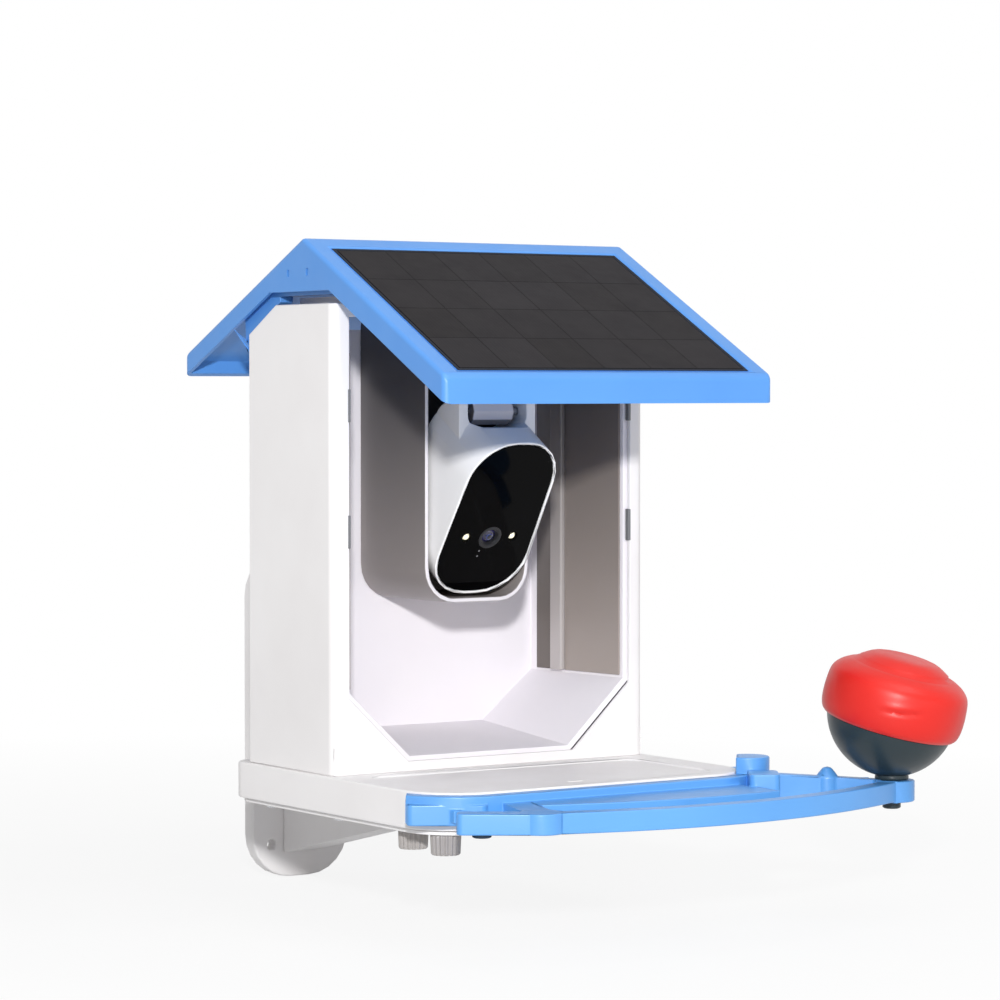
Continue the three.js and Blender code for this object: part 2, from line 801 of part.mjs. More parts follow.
// Glass, gasket, lens, lamps and board, drawn square to the glass and tilted together
function cameraFront() {
  const glassBack = bezelProud + glassThickness;
  const boardSide = boardFront - seamGap;
  const lensZ = -lensDrop;
  const ledXs = { camera_led_left: -ledSpacing / 2, camera_led_right: ledSpacing / 2 };
  const ledLength = boardSide - bezelProud - ledSetback;
  let glass = without(
    solid(alongY(glassOutline(0), bezelProud, glassBack)),
    solid(rodY(lensBarrelRadius + seamGap, -cutOverrun, glassBack + cutOverrun, 0, lensZ)),
  );
  const leds = Object.entries(ledXs).map(([name, x]) => {
    const hole = rodY(ledRadius + seamGap, -cutOverrun, glassBack + cutOverrun, x, lensZ);
    glass = without(glass, solid(hole));
    const lamp = turned([
      [0, 0],
      [ledRadius, 0],
      [ledRadius, ledLength - ledRadius],
      [ledRadius / 2, ledLength - ledRadius / 4],
      [0, ledLength],
    ], smallTurnSteps);
    return piece(name, lamp.rotateX(Math.PI / 2).translate(x, boardSide, lensZ), ledClear);
  });
  const gasketFront = glassBack + seamGap;
  const gasketBack = gasketFront + gasketThickness;
  const gasket = without(
    solid(alongY(glassOutline(0), gasketFront, gasketBack)),
    solid(alongY(glassOutline(gasketWidth), gasketFront - cutOverrun, gasketBack + cutOverrun)),
  );
  const barrelLength = boardSide - bezelProud;
  const barrel = turned([
    [0, 0],
    [lensBarrelRadius, 0],
    [lensBarrelRadius, barrelLength],
    [lensBoreRadius, barrelLength],
    [lensBoreRadius, barrelLength - lensBoreDepth],
    [0, barrelLength - lensBoreDepth],
  ]).rotateX(Math.PI / 2).translate(0, boardSide, lensZ);
  const lensRim = lensBoreRadius - seamGap;
  const lensEdge = lensDomeHeight / 2;
  const lens = turned([
    [0, 0],
    [lensRim, 0],
    [lensRim, lensEdge],
    [lensRim / 2, lensEdge + lensDomeHeight / 3],
    [0, lensDomeHeight],
  ]).rotateX(Math.PI / 2).translate(0, bezelProud + lensBoreDepth - seamGap, lensZ);
  const board = block(
    -boardWidth / 2, boardWidth / 2,
    boardFront, boardFront + boardThickness,
    -boardLength / 2, boardLength / 2);
  const group = groupOf(
    piece('camera_glass', geometryOf(glass), blackGlass),
    piece('camera_gasket', geometryOf(gasket), rubberGrey),
    piece('lens_barrel', barrel, sealBlack),
    piece('camera_lens', lens, lensGlass),
    ...leds,
    piece('circuit_board', board, boardGreen),
  );
  group.position.set(0, glassCentreY, glassCentreZ);
  group.rotation.x = glassTilt;
  return group;
}

const coverTop = coverBottom + coverHeight;
const coverBackY = coverFrontY + coverDepth;
const buttonY = coverFrontY + coverDepth / 2;

function cameraRearCover() {
  const half = coverWidth / 2;
  const flangeRoom = block(
    -cameraHalf, cameraHalf, coverFrontY, coverFrontY + coverWall, cameraBottom, notchFloor - cameraWall);
  const flange = bodyBar(coverFlangeInset - bezelWidth, 0).intersect(solid(flangeRoom));
  const shell = alongY(
    roundedBox(-half, half, coverBottom, coverTop, coverRadius, coverRadius), coverFrontY, coverBackY);
  const room = alongY(
    roundedBox(-half + coverWall, half - coverWall, coverBottom + coverWall, coverTop - coverWall,
      coverRadius - coverWall, coverRadius - coverWall),
    coverFrontY - cutOverrun, coverBackY - coverWall);
  const slotHalfLength = portLength / 2 + seamGap;
  const slotHalfWidth = portWidth / 2 + seamGap;
  const low = coverBottom - cutOverrun;
  const high = coverBottom + coverWall + cutOverrun;
  const slot = block(
    portX - slotHalfLength, portX + slotHalfLength,
    buttonY - slotHalfWidth, buttonY + slotHalfWidth,
    low, high);
  const cover = without(
    joined(flange, solid(shell)),
    solid(room),
    solid(slot),
    solid(rodZ(buttonRadius + seamGap, low, high, buttonX, buttonY)),
  );
  return piece('camera_rear_cover', geometryOf(cover), whitePlastic);
}

function coverContents() {
  const insideFloor = coverBottom + coverWall;
  const battery = block(
    -batteryWidth / 2, batteryWidth / 2,
    coverFrontY + coverWall, coverBackY - coverWall - seamGap,
    insideFloor + batteryFloorGap, coverTop - coverWall - batteryTopGap);
  const button = turned([
    [0, -buttonProud - coverWall],
    [buttonRadius, -buttonProud - coverWall],
    [buttonRadius, seamGap],
    [buttonRadius + buttonFlange, seamGap],
    [buttonRadius + buttonFlange, seamGap + buttonFlange],
    [0, seamGap + buttonFlange],
  ]).translate(buttonX, buttonY, insideFloor);
  const halfLength = portLength / 2;
  const halfWidth = portWidth / 2;
  const mouthLength = halfLength - portWall;
  const mouthWidth = halfWidth - portWall;
  const port = without(
    solid(block(portX - halfLength, portX + halfLength, buttonY - halfWidth, buttonY + halfWidth,
      coverBottom, insideFloor + portDepth)),
    solid(block(portX - mouthLength, portX + mouthLength, buttonY - mouthWidth, buttonY + mouthWidth,
      coverBottom - cutOverrun, insideFloor + portDepth / 2)),
  );
  return [
    piece('battery', battery, batteryBlue),
    piece('power_button', button, rubberGrey),
    piece('charge_port', geometryOf(port), steel),
  ];
}

function tiltPin() {
  const half = tiltPinLength / 2;
  return piece('tilt_pin', rodX(tiltPinRadius, -half, half, pivotY, pivotZ), steel);
}

// The tray's plan, grown outwards by an offset
function trayPlan(offset) {
  const half = trayHalf + offset;
  return roundedBox(
    -half, half, -trayReach - offset, trayBackY + offset, trayFrontRadius + offset, trayBackRadius + offset);
}

const baseScrewSpots = sides.flatMap(([, side]) => [
  [side * bossMiddleX, frontBossMiddleY],
  [side * bossMiddleX, backBossMiddleY],
]);
const armScrewSpots = armScrewYs.map((y) => [0, y]);
const thumbscrewSpots = thumbscrewYs.map((y) => [-tongueX, y]);

function tongueBlock(side, grow) {
  const half = tongueWidth / 2 + grow;
  return block(
    side * tongueX - half, side * tongueX + half,
    -trayReach - bandWidth / 2, tongueEndY + grow,
    tongueTop - tongueThickness - grow, tongueTop + grow);
}

function tray() {
  let body = without(
    solid(alongZ(trayPlan(0), -trayHeight, 0)),
    solid(alongZ(trayPlan(-trayWall), -trayHeight - cutOverrun, -deckThickness)),
  );
  for (const [x, y] of [...baseScrewSpots, ...armScrewSpots]) {
    body = body.add(solid(rodZ(trayBossRadius, -trayHeight, -deckThickness / 2, x, y)));
  }
  for (const [x, y] of baseScrewSpots) {
    body = body.subtract(solid(rodZ(screwHole, -trayHeight - cutOverrun, cutOverrun, x, y)));
  }
  for (const [x, y] of armScrewSpots) {
    body = body.subtract(solid(rodZ(screwHole, -trayHeight - cutOverrun, -deckThickness, x, y)));
  }
  for (const [, side] of sides) {
    body = body.subtract(solid(tongueBlock(side, tongueSideGap)));
  }
  const dishHalf = trayHalf - dishInset;
  const dish = roundedBox(-dishHalf, dishHalf, -trayReach + dishInset / 2, -dishSetback,
    trayFrontRadius - dishInset / 2, dishInset / 2);
  const drainY = -trayReach + drainSetback;
  const drain = block(-drainLength / 2, drainLength / 2, drainY - drainWidth / 2, drainY + drainWidth / 2,
    -deckThickness - cutOverrun, cutOverrun);
  body = without(body, solid(alongZ(dish, -dishDepth, cutOverrun)), solid(drain));
  return piece('tray', geometryOf(body), whitePlastic);
}

function basePlate() {
  let plate = solid(alongZ(trayPlan(-basePlateInset), basePlateBottom, basePlateTop));
  const low = basePlateBottom - cutOverrun;
  const high = basePlateTop + cutOverrun;
  for (const [x, y] of [...baseScrewSpots, ...armScrewSpots]) {
    plate = plate.subtract(solid(rodZ(screwHole, low, high, x, y)));
  }
  for (const [x, y] of thumbscrewSpots) {
    plate = plate.subtract(solid(rodZ(thumbShaftRadius + seamGap, low, high, x, y)));
  }
  return piece('base_plate', geometryOf(plate), whitePlastic);
}

// Places along and across the slant that the left lugs and the stop block follow
function slantPoint(start, along, across) {
  return [
    start.x + along * Math.cos(slantAngle) - across * Math.sin(slantAngle),
    start.y + along * Math.sin(slantAngle) + across * Math.cos(slantAngle),
  ];
}
const [plugX, plugY] = slantPoint(tabSlab, plugAlongSlab, slabWidth / 2);
const cupBossTop = -cupBossTopDrop;
const cupBossBottom = -perchDrop - cupBossProud;

function bar(x0, y0, x1, y1, width, low, high) {
  const length = Math.hypot(x1 - x0, y1 - y0);
  return block(0, length, -width / 2, width / 2, low, high)
    .rotateZ(Math.atan2(y1 - y0, x1 - x0))
    .translate(x0, y0, 0);
}

function slab(start, width, top) {
  const plan = roundedBox(0, start.length, 0, width, slabCornerRadius, slabCornerRadius);
  return alongZ(plan, -perchDrop, top).rotateZ(slantAngle).translate(start.x, start.y, 0);
}

function post(spot, low, top) {
  return alongZ(disc(spot.radius, spot.x, spot.y), low, top, postSteps);
}

// The band hugs the tray front; its left end is cut square to the slant
function perchBand() {
  const low = -perchDrop - cutOverrun;
  const top = -bandTopDrop;
  const far = 2 * houseWidth;
  const leftEnd = block(-far, -bandCutShare * (trayHalf + seamGap), -far, far, low, cutOverrun);
  return without(
    solid(alongZ(trayPlan(seamGap + bandWidth), -perchDrop, top)),
    solid(block(-far, far, -trayReach + bandEndInset, far, low, cutOverrun)),
    solid(leftEnd.rotateZ(slantAngle)),
  );
}

// An arc of a large circle, measured by the x of its ends
function arcShape(centreX, centreY, radius, startX, endX) {
  const start = -Math.acos((startX - centreX) / radius);
  const end = -Math.acos((endX - centreX) / radius);
  const shape = new THREE.Shape();
  shape.absarc(centreX, centreY, radius, start, end, false);
  return shape;
}

function frontRail() {
  const rail = arcShape(railCentreX, railCentreY, railRadius, tabBoss.x, cupBoss.x);
  const innerRadius = railRadius - railWidth;
  const start = -Math.acos((tabBoss.x - railCentreX) / innerRadius);
  const end = -Math.acos((cupBoss.x - railCentreX) / innerRadius);
  rail.absarc(railCentreX, railCentreY, innerRadius, end, start, true);
  return solid(alongZ(rail, -perchDrop, -perchTopDrop, railSteps));
}

function ledgePlate() {
  const plan = arcShape(ledgeCentreX, ledgeCentreY, ledgeRadius, ledgeStartX, ledgeEndX);
  plan.lineTo(ledgeEndX, 0);
  plan.lineTo(ledgeStartX, 0);
  return solid(alongZ(plan, -perchDrop, -perchTopDrop, railSteps));
}

// The link slopes down from the stop boss to the cup boss
function perchLink() {
  const acrossX = cupBoss.x - linkStartX;
  const acrossY = cupBoss.y - linkStartY;
  const length = Math.hypot(acrossX, acrossY);
  const side = outline([
    [0, -perchDrop],
    [length, -perchDrop],
    [length, -perchTopDrop],
    [0, -bandTopDrop],
  ]);
  const link = alongY(side, -linkWidth / 2, linkWidth / 2);
  return solid(link.rotateZ(Math.atan2(acrossY, acrossX)).translate(linkStartX, linkStartY, 0));
}

function nub() {
  const waist = -perchTopDrop + nubPost.radius / 2;
  return solid(turned([
    [0, -perchDrop],
    [nubPost.radius, -perchDrop],
    [nubPost.radius, waist - embed],
    [nubWaistRadius, waist + embed],
    [nubWaistRadius / 2, nubTop - embed / 2],
    [0, nubTop],
  ]).translate(nubPost.x, nubPost.y, 0));
}

function perchFrame() {
  const top = -perchTopDrop;
  const low = -perchDrop;
  const grown = joined(
    perchBand(),
    ledgePlate(),
    frontRail(),
    perchLink(),
    nub(),
    solid(slab(nearSlab, slabWidth, top)),
    solid(slab(tabSlab, slabWidth, top)),
    solid(slab(stopSlab, stopSlab.width, stopSlab.rise)),
    solid(post(tabBoss, low, top)),
    solid(post(stopBoss, low, stopBoss.rise)),
    solid(post(cupBoss, cupBossBottom, cupBossTop)),
    solid(bar(tabWebX, -trayReach, tabBoss.x, tabBoss.y, tabWebWidth, low, top)),
  );
  const trayRoom = solid(alongZ(trayPlan(seamGap), low - cutOverrun, stopBoss.rise + cutOverrun));
  const frame = joined(
    without(grown, trayRoom),
    ...sides.map(([, side]) => solid(tongueBlock(side, 0))),
  );
  const studHole = rodZ(studRadius + seamGap, cupBossBottom - cutOverrun, cutOverrun, cupBoss.x, cupBoss.y);
  const plugHole = rodZ(
    plugShaftRadius + seamGap, low - cutOverrun, low + plugShaftLength + seamGap, plugX, plugY);
  const holes = thumbscrewSpots.map(([x, y]) => solid(rodZ(thumbShaftRadius + seamGap, low, 0, x, y)));
  return piece('perch_frame', geometryOf(without(frame, solid(studHole), solid(plugHole), ...holes)),
    perchPlastic);
}

function perchPlug() {
  const plug = turned([
    [0, -plugHeadHeight],
    [plugRadius, -plugHeadHeight],
    [plugRadius, 0],
    [plugShaftRadius, 0],
    [plugShaftRadius, plugShaftLength],
    [0, plugShaftLength],
  ], smallTurnSteps).translate(plugX, plugY, -perchDrop - seamGap);
  return piece('perch_plug', plug, darkPlastic);
}

// A tapered knob with shallow flutes, its shaft pointing up
function thumbscrewGeometry() {
  const star = new THREE.Shape();
  const count = 2 * thumbFlutes;
  for (let i = 0; i < count; i += 1) {
    const radius = thumbRadius - (i % 2) * thumbFluteDepth;
    const angle = 2 * Math.PI * i / count;
    const point = [radius * Math.cos(angle), radius * Math.sin(angle)];
    if (i === 0) {
      star.moveTo(...point);
    } else {
      star.lineTo(...point);
    }
  }
  const knob = alongZ(star, -thumbHeight, 0);
  const places = knob.attributes.position;
  for (let i = 0; i < places.count; i += 1) {
    if (places.getZ(i) < -thumbHeight / 2) {
      const shrink = 1 - thumbTaper / thumbRadius;
      places.setXY(i, places.getX(i) * shrink, places.getY(i) * shrink);
    }
  }
  const reach = tongueTop - basePlateBottom + tongueDeckGap / 2;
  return geometryOf(solid(knob).add(solid(rodZ(thumbShaftRadius, -embed, reach, 0, 0))));
}

function thumbscrews() {
  return thumbscrewSpots.map(([x, y], i) => {
    const screw = piece(`thumbscrew_${i + 1}`, thumbscrewGeometry(), greyPlastic);
    screw.position.set(x, y, basePlateBottom - seamGap);
    return screw;
  });
}

// The bowl is a ball cut on a slant, on an upright foot with a stud
const cupAxis = new THREE.Vector3(
  Math.sin(cupTilt) * Math.sin(cupHeading),
  -Math.sin(cupTilt) * Math.cos(cupHeading),
  Math.cos(cupTilt),
);
const cupTurn = new THREE.Quaternion().setFromUnitVectors(axisZ, cupAxis);

function arcPoints(radius, fromAngle, toAngle, count) {
  const points = [];
  for (let i = 0; i <= count; i += 1) {
    const angle = fromAngle + (toAngle - fromAngle) * i / count;
    points.push([radius * Math.cos(angle), radius * Math.sin(angle)]);
  }
  return points;
}

function treatCup() {
  const innerRadius = cupRadius - cupWall;
  const stepAngle = -Math.asin(cupStepDrop / cupRadius);
  const innerAngle = -Math.acos(cupRimInnerRadius / innerRadius);
  const bottom = -Math.PI / 2;
  const shell = turned([
    [0, -cupRadius],
    ...arcPoints(cupRadius, bottom, stepAngle, cupArcSteps).slice(1),
    [cupRimRadius, -cupStepDrop],
    [cupRimRadius, 0],
    [cupRimInnerRadius, 0],
    ...arcPoints(innerRadius, innerAngle, bottom, cupArcSteps).slice(0, -1),
    [0, -innerRadius],
  ], cupSteps).applyQuaternion(cupTurn).translate(0, 0, cupCentreHeight);
  const footTop = cupCentreHeight - cupRadius + cupWall / 2;
  const studLow = cupBossBottom - cupBossTop - studReach - seamGap;
  const bowl = joined(
    without(solid(shell), solid(block(-cupRadius, cupRadius, -cupRadius, cupRadius, -cupRadius, seamGap))),
    solid(alongZ(disc(cupFootRadius), seamGap, footTop, postSteps)),
    solid(rodZ(studRadius, studLow, footTop, 0, 0)),
  );
  const lidLow = lidOuterCurve[0][1];
  const lidTurn = turned([
    ...lidInnerCurve,
    [lidInnerRadius, lidInnerCurve.at(-1)[1]],
    [lidInnerRadius, lidLow],
    ...lidOuterCurve,
  ], cupSteps);
  const lid = lidTurn.applyQuaternion(cupTurn).translate(0, 0, cupCentreHeight);
  const nutTop = cupBossBottom - cupBossTop - seamGap;
  const nutLow = nutTop - nutHeight;
  const boreRadius = studRadius + seamGap;
  const nut = turned([
    [0, nutLow],
    [nutRadius - nutEdge, nutLow],
    [nutRadius, nutLow + nutEdge],
    [nutRadius, nutTop],
    [boreRadius, nutTop],
    [boreRadius, nutLow + nutFloor],
    [0, nutLow + nutFloor],
  ], smallTurnSteps);
  const cup = groupOf(
    piece('cup_bowl', geometryOf(bowl), darkPlastic),
    piece('cup_lid', geometryOf(solid(lid)), redPlastic),
    piece('cup_nut', nut, darkPlastic),
  );
  cup.position.set(cupBoss.x, cupBoss.y, cupBossTop);
  return cup;
}

// Height of the roof's top faces, and of the skin's underside, at a depth y
function roofTopAt(y) {
  const pitch = y < ridgeSetback ? frontPitch : backPitch;
  return ridgeZ - Math.abs(y - ridgeSetback) * pitch;
}
const skinDrop = skinThickness / Math.cos(Math.atan(frontPitch));

function roofShell() {
  const gableFlatZ = sideWallHeight + gableFlatRise;
  const frontLowZ = frontEaveZ - frontFascia;
  const backLowZ = backEaveZ - backFascia;
  const underAt = (y) => roofTopAt(y) - skinDrop;
  const backInY = backEaveY - fasciaWall;
  const frontInY = frontEaveY + fasciaWall;
  const room = outline([
    [backInY, backLowZ - roofHalf],
    [backInY, underAt(backInY)],
    [ridgeSetback, underAt(ridgeSetback)],
    [frontInY, underAt(frontInY)],
    [frontInY, backLowZ - roofHalf],
  ]);
  const gableIn = roofHalf - gableWall;
  const wholeBand = outline([
    [backEaveY, backLowZ],
    [backEaveY, backEaveZ],
    [ridgeSetback, ridgeZ],
    [frontEaveY, frontEaveZ],
    [frontEaveY, frontLowZ],
  ]);
  let shell = without(
    solid(alongX(wholeBand, -roofHalf, roofHalf)),
    solid(alongX(room, -gableIn, gableIn)),
  );
  const faceCut = solid(alongX(outline([
    [backEaveY, backLowZ - cutOverrun],
    [backEaveY, backLowZ],
    [backEaveY - (gableFlatZ - backLowZ) / backPitch, gableFlatZ],
    [frontEaveY + (gableFlatZ - frontLowZ) / frontPitch, gableFlatZ],
    [frontEaveY, frontLowZ],
    [frontEaveY, backLowZ - cutOverrun - roofHalf],
    [backEaveY, backLowZ - cutOverrun - roofHalf],
  ]), -roofHalf - cutOverrun, roofHalf + cutOverrun));
  shell = shell.subtract(faceCut);
  const chamferAt = (y) => panelBackZ + (houseDepth - y) * chamferDrop / chamferRun + ribChamferGap;
  const ribStartY = houseDepth - chamferRun + ribChamferGap;
  const ribFlatZ = bayTop + ribChamferGap;
  const ribBackY = hingeY + knuckleRadius;
  const rib = outline([
    [ribFrontSetback, underAt(ribFrontSetback) + embed],
    [ribFrontSetback, ribFlatZ],
    [ribStartY, ribFlatZ],
    [ribStartY, chamferAt(ribStartY) + embed],
    [hingeY - knuckleRadius, chamferAt(houseDepth)],
    [hingeY - knuckleRadius, hingeZ],
    [ribBackY, hingeZ],
    [ribBackY, underAt(ribBackY) + embed],
    [ridgeSetback, underAt(ridgeSetback) + embed],
  ]);
  for (const [, side] of sides) {
    const [x0, x1] = [side * ribInner, side * ribOuter].sort((a, b) => a - b);
    shell = without(
      joined(shell, solid(alongX(rib, x0, x1)), solid(rodX(knuckleRadius, x0, x1, hingeY, hingeZ))),
      solid(rodX(hingePinRadius + seamGap, x0 - cutOverrun, x1 + cutOverrun, hingeY, hingeZ)),
    );
  }
  const solarBed = onFrontSlope(solarOutline(solarSealWidth + seamGap), -solarRecess, cutOverrun);
  shell = shell.subtract(solid(solarBed));
  return piece('roof_shell', geometryOf(shell), bluePlastic);
}

const slopeAngle = Math.atan(frontPitch);

// The panel's outline in (x, distance down the slope), grown by an offset
function solarOutline(offset) {
  const half = solarWidth / 2 + offset;
  return outline([
    [-half, -solarTopMargin + offset],
    [-half, -solarTopMargin - solarLength - offset],
    [half, -solarTopMargin - solarLength - offset],
    [half, -solarTopMargin + offset],
  ]);
}

// Lays an extrusion, low to high, on the front slope: its y runs up the slope from the ridge
function onFrontSlope(shape, low, high) {
  return alongZ(shape, low, high).rotateX(slopeAngle).translate(0, ridgeSetback, ridgeZ);
}

function solarPieces() {
  const panelLow = -solarRecess + seamGap;
  const panel = onFrontSlope(solarOutline(0), panelLow, panelLow + solarThickness);
  const seal = without(
    solid(onFrontSlope(solarOutline(solarSealWidth), panelLow, panelLow + solarThickness)),
    solid(onFrontSlope(solarOutline(seamGap), panelLow - cutOverrun, panelLow + solarThickness + cutOverrun)),
  );
  const boxStart = -junctionBelowRidge;
  const boxShape = outline([
    [-junctionWidth / 2, boxStart],
    [-junctionWidth / 2, boxStart - junctionLength],
    [junctionWidth / 2, boxStart - junctionLength],
    [junctionWidth / 2, boxStart],
  ]);
  const boxTop = -skinThickness - seamGap;
  return [
    piece('solar_panel', panel, solarBlack),
    piece('solar_seal', geometryOf(seal), sealBlack),
    piece('junction_box', onFrontSlope(boxShape, boxTop - junctionHeight, boxTop), sealBlack),
  ];
}

function hingePins() {
  return sides.map(([label, side]) => {
    const inner = ribInner - seamGap - earWidth + pinEndInset;
    const [x0, x1] = [side * inner, side * (ribOuter - pinEndInset)].sort((a, b) => a - b);
    return piece(`hinge_pin_${label}`, rodX(hingePinRadius, x0, x1, hingeY, hingeZ), steel);
  });
}

const armRootLow = armTop - armRootHeight;
const armSeatZ = armTop - armFlange;
const plateScrewZs = plateScrewShares.map((share) => armRootLow + armRootHeight * share);

function bracketPlate() {
  const half = plateWidth / 2;
  const low = plateCentreZ - plateHeight / 2;
  const plan = roundedBox(-half, half, low, low + plateHeight, plateCornerRadius, plateCornerRadius);
  let plate = solid(alongY(plan, plateFrontY, plateBackY));
  for (const z of plateScrewZs) {
    plate = without(
      plate,
      solid(rodY(screwHole, plateFrontY - cutOverrun, plateBackY + cutOverrun, 0, z)),
      solid(rodY(screwHeadRadius + seamGap, plateBackY - counterboreDepth, plateBackY + cutOverrun, 0, z)),
    );
  }
  for (const [, side] of sides) {
    for (const end of [-1, 1]) {
      const x = side * (half - wallHoleSideInset);
      const z = plateCentreZ + end * (plateHeight / 2 - wallHoleEndInset);
      const hole = rodY(wallHoleRadius, plateFrontY - cutOverrun, plateBackY + cutOverrun, x, z);
      plate = plate.subtract(solid(hole));
    }
  }
  return piece('bracket_plate', geometryOf(plate), whitePlastic);
}

function bracketArm() {
  const half = armWidth / 2;
  const rootY = plateFrontY - seamGap;
  let arm = solid(alongX(outline([
    [rootY, armTop],
    [armNoseY, armTop],
    [armNoseY, armTop - armNoseHeight],
    [rootY, armRootLow],
  ]), -half, half));
  for (const [x, y] of armScrewSpots) {
    arm = without(
      arm,
      solid(rodZ(screwHole, armRootLow, armTop + cutOverrun, x, y)),
      solid(rodZ(screwHeadRadius + seamGap, armRootLow - cutOverrun, armSeatZ, x, y)),
    );
  }
  for (const z of plateScrewZs) {
    arm = arm.subtract(solid(rodY(screwHole, rootY - plateScrewReach - embed, rootY + cutOverrun, 0, z)));
  }
  return piece('bracket_arm', geometryOf(arm), whitePlastic);
}

// Screws that point up, and screws that point forwards
function uprightScrews(label, spots, seatZ, reach) {
  return spots.map(([x, y], i) => {
    const screw = piece(`${label}_${i + 1}`, screwGeometry(reach), steel);
    screw.position.set(x, y, seatZ);
    return screw;
  });
}

function levelScrews(label, spots, seatY, reach, heading) {
  return spots.map(([x, z], i) => {
    const screw = piece(`${label}_${i + 1}`, screwGeometry(reach), steel);
    screw.position.set(x, seatY, z);
    screw.rotation.x = heading * Math.PI / 2;
    return screw;
  });
}

const baseScrews = uprightScrews(
  'base_screw', baseScrewSpots, basePlateBottom - seamGap, baseScrewReach - basePlateBottom);
const armScrews = uprightScrews('arm_screw', armScrewSpots, armSeatZ - seamGap, armScrewReach);
const backScrewSpots = sides.flatMap(([, side]) => [
  [side * bossMiddleX, lowBackScrewZ],
  [side * bossMiddleX, highBossZ],
]);
const backScrews = levelScrews(
  'back_screw', backScrewSpots, houseDepth + seamGap, houseWall + backScrewReach - embed, 1);
const plateScrewLength = plateThickness - counterboreDepth + plateScrewReach;
const plateScrews = levelScrews('plate_screw', plateScrewZs.map((z) => [0, z]),
  plateBackY - counterboreDepth + seamGap, plateScrewLength, 1);
const pocketScrewLength = pocketWall + bayWall + houseWall + seamGap;
const pocketScrews = levelScrews('pocket_screw', pocketScrewZs.map((z) => [0, z]),
  pocketBackY - pocketWall - seamGap, pocketScrewLength, -1);

const house = groupOf(
  houseShell(),
  backPanel(),
  feedingBay(),
  ...sidePieces(),
  cameraPocket(),
  ...hingePins(),
  ...backScrews,
  ...pocketScrews,
);
const roof = groupOf(roofShell(), ...solarPieces());
const camera = groupOf(cameraHousing(), cameraFront(), cameraRearCover(), ...coverContents(), tiltPin());
const base = groupOf(tray(), basePlate(), ...baseScrews);
const perch = groupOf(perchFrame(), perchPlug(), ...thumbscrews(), treatCup());
const bracket = groupOf(bracketPlate(), bracketArm(), ...armScrews, ...plateScrews);

const feeder = groupOf(house, roof, camera, base, perch, bracket);
feeder.position.set(0, -plateBackY, -plateCentreZ);

export default feeder;
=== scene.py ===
import json
import math

import bmesh
import bpy
from mathutils import Matrix, Vector
from mathutils.bvhtree import BVHTree


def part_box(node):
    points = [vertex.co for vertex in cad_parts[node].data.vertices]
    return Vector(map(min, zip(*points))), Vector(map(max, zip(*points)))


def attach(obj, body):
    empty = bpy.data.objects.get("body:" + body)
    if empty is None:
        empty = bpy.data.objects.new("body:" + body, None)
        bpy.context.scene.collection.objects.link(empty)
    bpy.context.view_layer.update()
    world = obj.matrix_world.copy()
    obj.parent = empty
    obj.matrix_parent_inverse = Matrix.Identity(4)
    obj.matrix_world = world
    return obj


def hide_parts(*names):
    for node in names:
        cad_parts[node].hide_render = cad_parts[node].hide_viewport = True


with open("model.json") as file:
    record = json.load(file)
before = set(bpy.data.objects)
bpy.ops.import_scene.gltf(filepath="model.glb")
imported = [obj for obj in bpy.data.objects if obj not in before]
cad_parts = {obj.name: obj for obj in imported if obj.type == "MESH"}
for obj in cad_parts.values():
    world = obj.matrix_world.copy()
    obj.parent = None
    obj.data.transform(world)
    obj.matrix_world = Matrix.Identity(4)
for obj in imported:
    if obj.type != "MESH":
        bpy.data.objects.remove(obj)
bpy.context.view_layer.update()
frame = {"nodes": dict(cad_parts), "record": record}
nodes = frame["nodes"]
record = frame["record"]
body_of = {node: body for body, names in record["behaviour"]["bodies"].items() for node in names}
slot_of = {entry["node"]: entry["material_slot"] for entry in record["subparts"]}

# Sizes in millimetres. The house front is at y = 0 and the tray deck at z = 0.
MM = 0.001
PLATE_BACK = 195
PLATE_MIDDLE = 12
PLATE_FOOT = -76
ROOF_HALF = 95.6
GABLE_MIDDLE = 94.5
RIDGE_Y, RIDGE_Z = 24.2, 260.7
SLOPE = math.radians(28.03)
PANEL_WIDTH, PANEL_LENGTH, PANEL_DOWN = 165, 122, 135
CELL_COLUMNS, CELL_ROWS = 6, 4
GLASS_TILT = math.radians(32.5)
GLASS_Y, GLASS_Z = -3.5, 122.6
LENS_DROP = 11.2
LED_SPACING = 27.3
OPENING_HALF = 84.5
CATCH_DEPTH, CATCH_REACH = 2.5, 1.6
CUP_X, CUP_Y, BOSS_TOP, BALL_Z = 150.3, -127.4, -4.6, 28.6
CUP_AXIS = Vector((0.1416, -0.2206, 0.965)).normalized()
KNOB_TOP = -20.6
KNOB_FLUTES = 18
SCREW_HEAD = 1.8

# Rounding of edges: angles in degrees, and what is mended after it
SHARP_ANGLE = 32
SMOOTH_ANGLE = 38
SPIKE_SHARE = 0.45
SLIVER = 0.004
SEAM = 0.02


def at(x, y, z):
    """A point in metres from the feeder's own millimetres."""
    return Vector((x * MM, (y - PLATE_BACK) * MM, (z - PLATE_MIDDLE) * MM))


# Shader helpers
def linear(code):
    """A hex colour as the linear colour that a socket takes."""
    levels = [int(code[i:i + 2], 16) / 255 for i in (1, 3, 5)]
    return (*[c / 12.92 if c <= 0.04045 else ((c + 0.055) / 1.055) ** 2.4 for c in levels], 1.0)


def put(tree, kind, sockets=None, **settings):
    """A shader node with its settings, and with links or values for its inputs."""
    made = tree.nodes.new("ShaderNode" + kind)
    for key, value in settings.items():
        setattr(made, key, value)
    for key, value in (sockets or {}).items():
        if isinstance(value, bpy.types.NodeSocket):
            tree.links.new(value, made.inputs[key])
        else:
            made.inputs[key].default_value = value
    return made


def mixed(tree, factor, first, second):
    """A colour between two."""
    return put(tree, "Mix", {0: factor, 6: first, 7: second}, data_type="RGBA").outputs[2]


